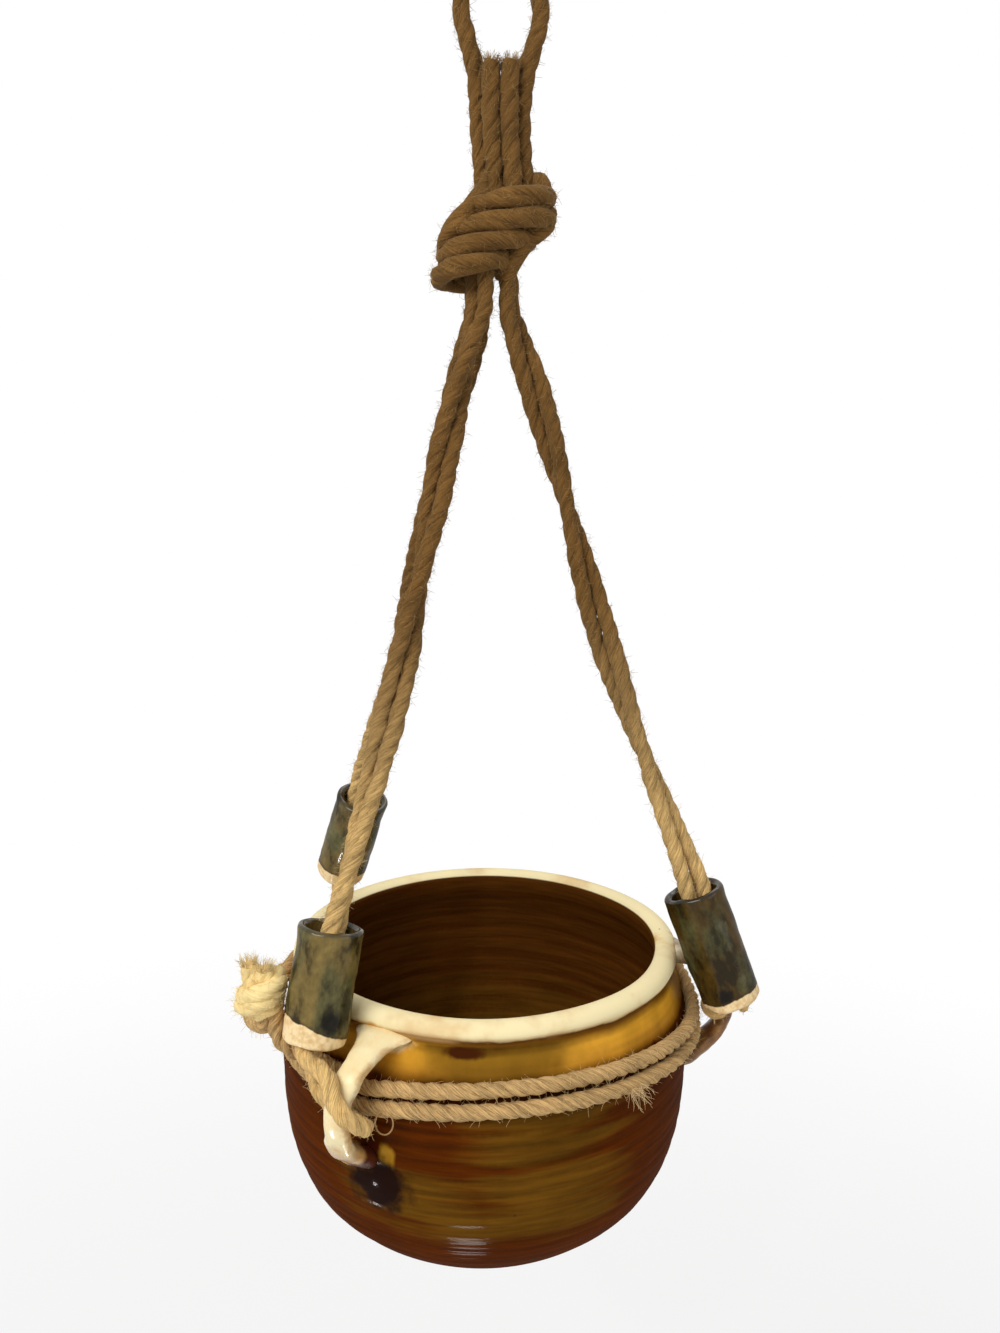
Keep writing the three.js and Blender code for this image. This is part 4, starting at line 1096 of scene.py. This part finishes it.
def settle(piece, slot, *bodies, crossing=None, node=None, route=None, far_end=None, lay=None):
    """Hide the solid a piece stands for and put the piece on the body that carries it, or fix its place where
    it crosses from one body to the next. Its slot, route, far end and lay are not used.
    """
    if node is not None:
        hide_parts(node)
    if crossing is None:
        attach(piece, *bodies)
    else:
        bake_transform(piece)


class PLANTER_OT_stage(bpy.types.Operator):
    """Set up the camera, the floor, the lamps and the white surroundings"""
    bl_idname = "planter.stage"
    bl_label = "Stage"

    def execute(self, context):
        stage = context.scene.planter_stage
        camera = bpy.data.cameras.new("camera")
        camera.sensor_fit = "HORIZONTAL"
        camera.sensor_width = 36.0
        camera.lens = stage.lens * 1000
        camera.clip_start = 0.02
        eye = link(bpy.data.objects.new("camera", camera))
        ahead = Vector((0, math.cos(CAMERA_PITCH), -math.sin(CAMERA_PITCH)))
        over = Vector((0, math.sin(CAMERA_PITCH), math.cos(CAMERA_PITCH)))
        right = Vector((1, 0, 0)) * math.cos(CAMERA_ROLL) + over * math.sin(CAMERA_ROLL)
        up = over * math.cos(CAMERA_ROLL) - Vector((1, 0, 0)) * math.sin(CAMERA_ROLL)
        turn = Matrix((right, up, -ahead)).transposed().to_4x4()
        eye.matrix_world = Matrix.Translation(CAMERA_PLACE) @ turn
        context.scene.camera = eye

        mesh = bpy.data.meshes.new("floor")
        corners = ((-1, -1), (1, -1), (1, 1), (-1, 1))
        mesh.from_pydata(
            [(FLOOR_REACH * x, FLOOR_REACH * y, stage.floor_height) for x, y in corners], [], [(0, 1, 2, 3)])
        mesh.materials.append(floor_paint())
        link(bpy.data.objects.new("floor", mesh))

        for name, place, size, power in (
                ("key_lamp", (-0.85, -1.05, 0.75), 0.9, stage.key_power),
                ("fill_lamp", (1.25, -0.75, 0.15), 1.1, stage.fill_power),
                ("back_lamp", (0.3, 1.2, 0.9), 1.0, stage.back_power),
                ("glint_lamp", (-0.35, -1.3, 0.7), 0.07, stage.glint_power),
                ("low_lamp", (-0.045, -0.21, -1.0), 0.14, stage.low_power),
                ("pool_lamp", (-0.428, -0.252, -0.814), 0.034, stage.pool_power)):
            lamp = bpy.data.lights.new(name, "AREA")
            lamp.shape = "DISK"
            lamp.size = size
            lamp.energy = power
            holder = link(bpy.data.objects.new(name, lamp))
            holder.visible_camera = False
            holder.visible_diffuse = name not in ("low_lamp", "pool_lamp")
            way = (Vector(LAMP_AIM) - Vector(place)).to_track_quat("-Z", "Y")
            holder.matrix_world = Matrix.Translation(place) @ way.to_matrix().to_4x4()

        world = bpy.data.worlds.new("white room")
        context.scene.world = world
        world.use_nodes = True
        world.node_tree.nodes.clear()
        node = partial(add, world.node_tree)
        light = node("Background", (1.0, 1.0, 1.0, 1.0), stage.sky_level)
        white = node("Background", (1.0, 1.0, 1.0, 1.0), 1.0)
        node("OutputWorld", node("MixShader", looked_at(node), light, white))
        context.scene.view_settings.view_transform = "Standard"
        return {"FINISHED"}


class PLANTER_OT_leg_cords(bpy.types.Operator):
    """Lay the doubled cord of each leg, from the knot down through the tube, round the lug and back"""
    bl_idname = "planter.leg_cords"
    bl_label = "Leg Cords"

    def execute(self, context):
        cord = context.scene.planter_cord
        material = jute_cord("twisted jute", cord.upper_colour, cord.lower_colour)
        for number, leg in enumerate(LEGS):
            route = softened(smooth_route(leg_route(leg, cord.leg_bow * 1000)), reach=2.2)
            piece = rope("leg_rope_" + leg["name"], [route], material, cord.soft_lay_length,
                         cord.soft_plumpness, diameter=LEG_ROPE, seed=float(number), uneven=SOFT_UNEVENNESS)
            settle(piece, "jute", "knot", "hanger", crossing=KNOT_CROSSING, node="leg_cord_" + leg["name"],
                   route=route, far_end="object", lay="taut")
            hairs = fuzz("leg_fuzz_" + leg["name"], piece, cord, seed=10 + number)
            settle(hairs, "jute", "knot", "hanger", crossing=KNOT_CROSSING)
        return {"FINISHED"}


class PLANTER_OT_girdle(bpy.types.Operator):
    """Lay the girdle's cord twice round the shoulder, through the lugs, to the stopper knot"""
    bl_idname = "planter.girdle"
    bl_label = "Girdle Cord"

    def execute(self, context):
        cord = context.scene.planter_cord
        material = jute_cord("pale twisted jute", cord.girdle_colour, cord.girdle_colour,
                             faintest=0.34, brightest=1.6)
        route = softened(smooth_route(girdle_route()), reach=1.6)
        piece = rope("girdle_rope", [route], material, cord.lay_length, cord.plumpness, seed=4.0)
        settle(piece, "jute", "hanger", node="girdle_cord", route=route, far_end="knot", lay="coiled")
        settle(fuzz("girdle_fuzz", piece, cord, seed=20, dense=0.6), "jute", "hanger")
        torn = []
        for azimuth, drop in ((-53.1, 25.8), (-50.4, 25.2)):
            place = polar(girdle_radius(drop) + 0.36 * CORD_DIAMETER, azimuth, drop)
            torn.append((place, flat_way(azimuth) + np.array([0, 0, -0.6]), 1.1))
        settle(frayed_ends("girdle_tuft", torn, seed=21, length=0.006, density=6.0e6), "jute", "hanger")
        # A loose yarn hangs in a ring on the girdle, just right of the front left lug.
        azimuth, half_width, half_height, sag = 248.4, 3.2, 3.4, 1.2
        hang = polar(girdle_radius(28.0) + 0.4 * CORD_DIAMETER, azimuth, 27.0)
        curl = [hang + flat_way(azimuth + 90) * half_width * math.sin(turn)
                + flat_way(azimuth) * (sag - sag * math.cos(turn))
                + np.array([0, 0, half_height * math.cos(turn) - half_height])
                for turn in np.linspace(-0.5, 5.9, 20)]
        yarn = rope("girdle_loose_yarn", [smooth_route(curl, between=4)], material, cord.lay_length,
                    cord.plumpness, diameter=0.55, seed=5.0)
        settle(yarn, "jute", "hanger")
        return {"FINISHED"}


class PLANTER_OT_hanging_loop(bpy.types.Operator):
    """Lay the two strands of the hanging loop and the two cut tails in front of them"""
    bl_idname = "planter.hanging_loop"
    bl_label = "Hanging Loop"

    def execute(self, context):
        cord = context.scene.planter_cord
        material = jute_cord("twisted jute", cord.upper_colour, cord.lower_colour)
        for number, (node, side) in enumerate(LOOP_SIDES.items()):
            route = smooth_route(loop_route(side, aside=1.5 * number))
            piece = rope(node.replace("strand", "rope"), [route], material, cord.soft_lay_length,
                         cord.soft_plumpness, diameter=LOOP_ROPE, seed=5.0 + number, uneven=SOFT_UNEVENNESS)
            settle(piece, "jute", "loop", "knot", crossing=LOOP_CROSSING, node=node,
                   route=route, far_end="object", lay="taut")
            hairs = fuzz(node.replace("strand", "fuzz"), piece, cord, seed=30 + number)
            settle(hairs, "jute", "loop", "knot", crossing=LOOP_CROSSING)
        ends = []
        for sign, label in ((-1, "left"), (1, "right")):
            route = smooth_route(tail_route(sign))
            piece = rope("tail_rope_" + label, [route], material, cord.soft_lay_length, cord.soft_plumpness,
                         diameter=TAIL_ROPE, seed=7.0 + sign, uneven=SOFT_UNEVENNESS)
            settle(piece, "jute", "knot", node="cord_tail_" + label,
                   route=route, far_end="bare", lay="hanging")
            settle(fuzz("tail_fuzz_" + label, piece, cord, seed=36 + sign), "jute", "knot")
            ends.append((route[-1] - np.array([0, 0, 0.5]), route[-1] - route[-4], CORD_DIAMETER / 2))
        settle(frayed_ends("tail_fray", ends, seed=40, length=0.0024), "jute", "knot")
        return {"FINISHED"}


class PLANTER_OT_top_knot(bpy.types.Operator):
    """Wind the wraps of the overhand knot that gathers all the strands"""
    bl_idname = "planter.top_knot"
    bl_label = "Top Knot"

    def execute(self, context):
        cord = context.scene.planter_cord
        material = jute_cord("twisted jute", cord.upper_colour, cord.lower_colour)
        middle = np.array([0.0, 0.0, (KNOT_TOP + KNOT_BOTTOM) / 2])
        wraps = coil_route(middle, (11.2, 12.8, 15.8, 13.0), (-6.6, -2.0, 3.6, 6.4), deep=13.2, turns=4.0,
                           low=-14.0, high=13.7, tilt=6.0, start=100.0, tuck=0.06)
        inner = coil_route(middle, (8.0, 9.5), (-4.5, 4.5), deep=8.0, turns=3.2,
                           low=-12.0, high=11.0, tilt=6.0, start=20.0, tuck=0.12)
        flank, bight, slope = [[middle + np.array(point) for point in points] for points in (
            ((0.5, -1.0, 21.0), (-2.0, -4.0, 15.0), (-5.5, -8.5, 9.0), (-10.5, -9.5, 3.5),
             (-14.6, -5.0, -1.5), (-14.0, 4.0, -6.0), (-7.0, 9.0, -8.0)),
            ((9.0, 5.0, 8.0), (11.5, 4.0, 14.0), (13.8, 2.5, 18.6), (16.6, 0.5, 18.4), (17.4, -3.0, 12.0),
             (14.5, -7.0, 7.0), (9.0, -6.0, 3.0)),
            ((20.0, 3.0, 9.0), (18.2, -2.0, 3.4), (12.0, -4.5, -2.4), (7.6, -5.0, -9.0), (5.0, -4.0, -15.0)))]
        routes = [smooth_route(points, between=4) for points in (wraps, flank, bight, slope, inner)]
        piece = rope("top_knot_rope", routes, material, 2.0 * cord.soft_lay_length, plump=0.73,
                     diameter=KNOT_ROPE, seed=9.0)
        settle(piece, "jute", "knot", node="top_knot")
        settle(fuzz("top_knot_fuzz", piece, cord, seed=50, dense=0.8), "jute", "knot")
        return {"FINISHED"}


class PLANTER_OT_stopper_knot(bpy.types.Operator):
    """Tie the girdle's two ends into the stopper knot, with their opened tips standing up"""
    bl_idname = "planter.stopper_knot"
    bl_label = "Stopper Knot"

    def execute(self, context):
        cord = context.scene.planter_cord
        material = jute_cord("opened pale jute", cord.stopper_colour, cord.stopper_colour,
                             faintest=0.8, brightest=1.12)
        pale = jute_fibre("pale jute fibre", "#f3da9f", "#f3da9f")
        middle = polar(STOPPER_RADIUS, STOPPER_AZIMUTH, STOPPER_BOTTOM_DROP - STOPPER_HEIGHT / 2)
        wraps = coil_route(middle, (5.2, 5.4), (-0.6, 0.6), deep=5.2, turns=2.8,
                           low=-6.0, high=4.6, tilt=16.0, start=250.0, tuck=0.12)
        tips, ends = [], []
        for azimuth, splay, reach in ((190, 9, 11.8), (320, 6, 10.6)):
            splay = math.radians(splay)
            way = np.array([0, 0, 1.0]) * math.cos(splay) + flat_way(azimuth) * math.sin(splay)
            foot = middle + np.array([0, 0, -2.0]) + flat_way(azimuth) * 1.6
            tips.append([foot + way * reach * share for share in (0, 0.5, 1)])
            ends.append((foot + way * (reach - 0.6), way, 2.3))
        routes = [smooth_route(points, between=4) for points in [wraps] + tips]
        piece = rope("stopper_knot_rope", routes, material, cord.soft_lay_length, plump=0.68,
                     diameter=STOPPER_ROPE, seed=11.0)
        settle(piece, "jute", "hanger", node="girdle_knot")
        hairs = fuzz("stopper_knot_fuzz", piece, cord, seed=60, dense=1.6, material=pale)
        settle(hairs, "jute", "hanger")
        brush = frayed_ends("stopper_fray", ends, seed=61, length=0.003, density=9.0e6, material=pale)
        settle(brush, "jute", "hanger")
        return {"FINISHED"}


class PLANTER_OT_bowl(bpy.types.Operator):
    """Turn the bowl, give it its throwing ridges and glaze it"""
    bl_idname = "planter.bowl"
    bl_label = "Bowl"

    def execute(self, context):
        clay = context.scene.planter_clay
        inner = np.concatenate([
            shoulder_outline(NECK_RADIUS - WALL, BELLY_RADIUS - WALL),
            belly_outline(BELLY_RADIUS - WALL, FOOT_RADIUS - WALL, POT_HEIGHT - FLOOR),
            [[0.0, POT_HEIGHT - FLOOR]]])[::-1]
        angles = np.radians(np.linspace(180, -30, 64))
        middle = NECK_RADIUS + RIM_OVERHANG - RIM_WIDTH / 2
        rim = np.stack([
            middle + RIM_WIDTH / 2 * np.cos(angles), RIM_HEIGHT / 2 * (1 - np.sin(angles))], axis=1)
        outer = np.concatenate([
            shoulder_outline(NECK_RADIUS, BELLY_RADIUS),
            belly_outline(BELLY_RADIUS, FOOT_RADIUS, POT_HEIGHT)])
        outer = outer[outer[:, 1] < POT_HEIGHT - 0.5]
        under = np.array([[FOOT_RADIUS - 1.2, POT_HEIGHT], [0.0, POT_HEIGHT]])
        stretches = [spaced(inner, 1.1), spaced(rim, 0.5), spaced(outer, 0.68), spaced(under, 2.5)]
        outline = np.concatenate(stretches)
        part = np.concatenate([np.full(len(stretch), k) for k, stretch in enumerate(stretches)])
        is_inner, is_rim, is_outer, is_under = [part == k for k in range(4)]
        run = np.concatenate([[0.0], np.cumsum(np.linalg.norm(np.diff(outline, axis=0), axis=1))]) / 1000
        drop = outline[:, 1]
        within = is_inner | (is_rim & (outline[:, 0] < middle - 3.9))
        ridged = np.where(is_outer, ease(drop, 16, 24) * ease(drop, 105, 98), 0.0)
        ridged = np.where(is_inner, 0.55 * ease(drop, 6, 18), ridged)

        sides = BOWL_AROUND
        azimuth = np.linspace(0, 2 * np.pi, sides, endpoint=False)
        runout = np.sin(2 * azimuth + 0.6) + 0.6 * np.sin(3 * azimuth + 2.1) + 0.3 * np.sin(7 * azimuth)
        lift = np.sin(2 * azimuth + 1.1) + 0.5 * np.sin(5 * azimuth + 0.4)
        wobble = clay.wobble * 1000
        off_pool = (azimuth - math.radians(POOL_AZIMUTH)) * BELLY_RADIUS / POOL_REACH
        points = []
        for (across, depth), outside in zip(outline, is_outer):
            radius = across + wobble * runout * across / BELLY_RADIUS
            if outside:
                below_pool = (depth - POOL_DROP) / POOL_REACH
                radius = radius + POOL_HEIGHT * np.exp(-off_pool ** 2 - below_pool ** 2)
            height = -RIM_BELOW_HOOK - depth + 0.6 * wobble * lift * ease(depth, 30, 0) * across / NECK_RADIUS
            points.append(np.stack([radius * np.cos(azimuth), radius * np.sin(azimuth), height], axis=1))
        rings = len(points) - 2
        faces = ring_faces(rings, sides)
        first, last, end = rings * sides, rings * sides + 1, (rings - 1) * sides
        faces.extend((first, (k + 1) % sides, k) for k in range(sides))
        faces.extend((last, end + k, end + (k + 1) % sides) for k in range(sides))
        shell = np.concatenate(points[1:-1] + [points[0][:1], points[-1][:1]])
        from_pool = np.linalg.norm(shell - polar(bowl_radius(POOL_DROP), POOL_AZIMUTH, POOL_DROP), axis=1)
        attributes = {label: over_rings(values, sides) for label, values in (
            ("ridged", ridged), ("ridge_stretch", np.where(is_inner, 1.4, 1.0)), ("outline_run", run),
            ("inside", within.astype(float)), ("bare", is_under.astype(float)))}
        attributes["ridged"] *= ease(from_pool, 0.8 * POOL_REACH, 1.8 * POOL_REACH)
        ground = clay_piece("bowl_ground", shell, faces, None, attributes)
        piece = run_nodes(ground, ridge_tree(), {
            "Pitch": clay.ridge_pitch, "Depth": clay.ridge_depth, "Seed": float(clay.seed),
            "Material": thrown_glaze(clay)}, "thrown_bowl")
        settle(piece, "glazed_stoneware", "hanger", node="pot_body")
        return {"FINISHED"}


class PLANTER_OT_lugs(bpy.types.Operator):
    """Pull the three lugs and lute them to the rim and the belly"""
    bl_idname = "planter.lugs"
    bl_label = "Lugs"

    def execute(self, context):
        material = lug_glaze(context.scene.planter_clay)
        sides = LUG_AROUND
        for number, leg in enumerate(LEGS):
            top, bottom = LUG_TOP_DROP + leg["lug_drop"], LUG_BOTTOM_DROP + leg["lug_drop"]
            half = (bottom - top) / 2
            reach = STRAP_RADIUS - BELLY_RADIUS
            # Radius, drop, share of the strap's width, share of its thickness, thinness of its edges
            stations = np.array([
                (NECK_RADIUS - 2.8, top - 1.9, 2.5, 0.8, 1.7),
                (NECK_RADIUS + 0.8, top - 1.5, 2.45, 1.0, 1.65),
                (NECK_RADIUS + 3.6, top - 0.7, 1.9, 1.15, 1.4),
                (BELLY_RADIUS + 1.2, top + 0.3, 1.4, 1.16, 1.1),
                (BELLY_RADIUS + 0.42 * reach, top + 0.38 * LUG_BEND, 1.16, 1.08, 0.85),
                (BELLY_RADIUS + 0.8 * reach, top + LUG_BEND, 1.04, 1.0, 0.78),
                (STRAP_RADIUS, top + half - 0.3 * half, 0.98, 0.97, 0.78),
                (STRAP_RADIUS, top + half + 0.2 * half, 1.06, 0.97, 0.78),
                (BELLY_RADIUS + 0.78 * reach, bottom - 1.4 * LUG_BEND, 1.32, 1.0, 0.82),
                (BELLY_RADIUS + 0.38 * reach, bottom - 0.36 * LUG_BEND, 1.6, 1.2, 0.95),
                (BELLY_RADIUS + 1.2, bottom + 1.5, 1.78, 1.42, 1.05),
                (BELLY_RADIUS - 2.6, bottom + 4.0, 1.6, 1.3, 1.1),
            ])
            spine = spaced(smooth_route(stations, between=16), step=0.7)
            slope = np.gradient(spine[:, :2], axis=0)
            slope /= np.linalg.norm(slope, axis=1)[:, None]
            sideways, radial = flat_way(leg["azimuth"] + 90), flat_way(leg["azimuth"])
            points, run, edge, pool = [], [], [], []
            for i, (across, drop, wide, thick, thin) in enumerate(spine):
                head = leg["head_aside"] * float(ease(drop, 27, 15))
                root = leg["root_aside"] * float(ease(drop, bottom - 16, bottom))
                centre = polar(across, leg["azimuth"], drop) + sideways * (head + root)
                normal = -(radial * slope[i, 1] + np.array([0, 0, slope[i, 0]]))
                for angle in 2 * np.pi * (np.arange(sides) + 0.5) / sides:
                    cosine, sine = math.cos(angle), math.sin(angle)
                    aside = LUG_WIDTH / 2 * wide * math.copysign(abs(cosine) ** 0.78, cosine)
                    through = LUG_THICKNESS / 2 * thick * math.copysign(abs(sine) ** thin, sine)
                    point = centre + sideways * aside - normal * through
                    bumps = noise.noise(Vector(point * 0.16 + 40 * number)) * 0.5
                    bumps += noise.noise(Vector(point * 0.5)) * 0.16
                    points.append(point + (sideways * cosine - normal * sine) * bumps)
                    # The right lug's extra tan and its pooled brown are partly painted shade, and so is the
                    # pooled brown on one side of each lower root.
                    run.append(i / (len(spine) - 1) + leg["brown_and_shade"])
                    edge.append(abs(cosine))
                    runny = ease(drop, bottom - 6, bottom + 1) * ease(-leg["side"] * cosine, -0.45, 0.35)
                    pool.append(max(1.2 * leg["brown_and_shade"], float(runny)))
            faces = ring_faces(len(spine), sides)
            faces.append(tuple(range(sides))[::-1])
            faces.append(tuple(range((len(spine) - 1) * sides, len(spine) * sides)))
            piece = clay_piece("pulled_lug_" + leg["name"], points, faces, material, {
                "run": run, "edge": edge, "pool": pool})
            settle(piece, "cream_stoneware", "hanger", node="lug_" + leg["name"])
        return {"FINISHED"}


class PLANTER_OT_tubes(bpy.types.Operator):
    """Roll the three clay tubes that slide on the legs"""
    bl_idname = "planter.tubes"
    bl_label = "Clay Tubes"

    def execute(self, context):
        material = tube_glaze(context.scene.planter_clay)
        sides = TUBE_AROUND
        for number, leg in enumerate(LEGS):
            line = leg_line(leg)
            length = leg["tube_length"]
            flat_bore = TUBE_INNER * math.cos(math.pi / TUBE_SIDES)
            tip = math.asin((flat_bore - PAIR_RADIUS - CLEARANCE) / (length / 2))
            lean = np.array(Matrix.Rotation(-tip * leg["tip"], 3, Vector(line["sideways"])))
            axis = lean @ line["up"]
            first = lean @ line["outward"]
            second = np.cross(axis, first)
            middle = line["foot"] + line["up"] * length / 2
            # Up the outside, over the upper lip, down the bore and round the lower lip
            top = length - TUBE_LIP
            upper, lower = [[
                (TUBE_INNER + TUBE_WALL / 2 * (1 + math.cos(angle)), height + TUBE_LIP * math.sin(angle))
                for angle in np.radians(np.linspace(begin, begin + 150, 11))]
                for begin, height in ((15, top), (195, TUBE_LIP))]
            outline = [(TUBE_OUTER, height) for height in np.linspace(TUBE_LIP, top, 46)] + upper
            outline += [(TUBE_INNER, height) for height in np.linspace(top, TUBE_LIP, 24)] + lower
            points, turns, above, lips, pools = [], [], [], [], []
            pool_faces, pool_height, pool_reach = leg["pool"]
            for radius, height in outline:
                for k in range(sides):
                    angle = 2 * math.pi * k / sides
                    cosine, sine = math.cos(angle), math.sin(angle)
                    way = first * cosine + second * sine
                    spot = Vector((cosine * 1.1, sine * 1.1, height * 0.075 + 13 * number))
                    bumps = noise.noise(spot) * 0.55 + noise.noise(spot * 3.1) * 0.2
                    end = 0.45 * noise.noise(Vector((cosine * 1.4, sine * 1.4, 5.0 + number)))
                    stretch = height + end * (2 * height / length - 1) * 1.6
                    inward = 0.35 if radius < TUBE_INNER + 0.4 else 1.0
                    flare = 0.35 * float(ease(height, length - 5, length)) - 0.25 * float(ease(height, 6, 0))
                    lap = (angle / (2 * math.pi) + 0.13 * number + 0.31) % 1.0
                    step = (lap - 0.5) * float(ease(lap, 1.0, 0.955))
                    out = radius + (bumps + flare + step) * inward
                    points.append(middle + axis * (stretch - length / 2) + way * out)
                    turns.append((1.1 * cosine, 1.1 * sine, height / 10 + 7 * number))
                    faces_way = math.atan2(way[1], way[0])
                    tilt = leg["slant"] * math.cos(faces_way - math.radians(leg["faces"]))
                    above.append(height - leg["bare"] - tilt)
                    aside = math.remainder(faces_way - math.radians(pool_faces), 2 * math.pi) * TUBE_OUTER
                    off = math.hypot(aside, height - pool_height)
                    pools.append(float(ease(off, 1.7 * pool_reach, 0.1 * pool_reach)))
                    lips.append(float(ease(height, length - 1.6, length - 0.5)))
            faces = ring_faces(len(outline), sides, closed=True)
            piece = clay_piece("rolled_tube_" + leg["name"], points, faces, material, {
                "turn": turns, "above_bare": above, "lip": lips, "pool": pools,
                "thick": [leg["thick"]] * len(points)})
            settle(piece, "dark_glazed_clay", "bead_" + leg["name"], node="tube_" + leg["name"])
        return {"FINISHED"}


class PLANTER_PT_panel(bpy.types.Panel):
    """Lists the planter's pieces and their settings"""
    bl_idname = "PLANTER_PT_panel"
    bl_label = "Hanging Planter"
    bl_space_type = "VIEW_3D"
    bl_region_type = "UI"
    bl_category = "Planter"

    def draw(self, context):
        column = self.layout.column(align=True)
        for operator in OPERATORS:
            column.operator(operator.bl_idname)
        for group in (context.scene.planter_cord, context.scene.planter_clay, context.scene.planter_stage):
            box = self.layout.box()
            for key in group.__annotations__:
                box.prop(group, key)


GROUPS = {"planter_cord": PlanterCord, "planter_clay": PlanterClay, "planter_stage": PlanterStage}
OPERATORS = (
    PLANTER_OT_stage, PLANTER_OT_leg_cords, PLANTER_OT_girdle, PLANTER_OT_hanging_loop, PLANTER_OT_top_knot,
    PLANTER_OT_stopper_knot, PLANTER_OT_bowl, PLANTER_OT_lugs, PLANTER_OT_tubes,
)


def register():
    """Register the settings, the operators and the panel."""
    for label, group in GROUPS.items():
        bpy.utils.register_class(group)
        setattr(bpy.types.Scene, label, PointerProperty(type=group))
    for operator in OPERATORS:
        bpy.utils.register_class(operator)
    bpy.utils.register_class(PLANTER_PT_panel)


def unregister():
    """Take the panel, the operators and the settings away again."""
    bpy.utils.unregister_class(PLANTER_PT_panel)
    for operator in reversed(OPERATORS):
        bpy.utils.unregister_class(operator)
    for label, group in GROUPS.items():
        delattr(bpy.types.Scene, label)
        bpy.utils.unregister_class(group)


def main():
    """Build the planter piece by piece."""
    register()
    bpy.ops.planter.stage()
    bpy.ops.planter.leg_cords()
    bpy.ops.planter.girdle()
    bpy.ops.planter.hanging_loop()
    bpy.ops.planter.top_knot()
    bpy.ops.planter.stopper_knot()
    bpy.ops.planter.bowl()
    bpy.ops.planter.lugs()
    bpy.ops.planter.tubes()


if __name__ == "__main__":
    main()
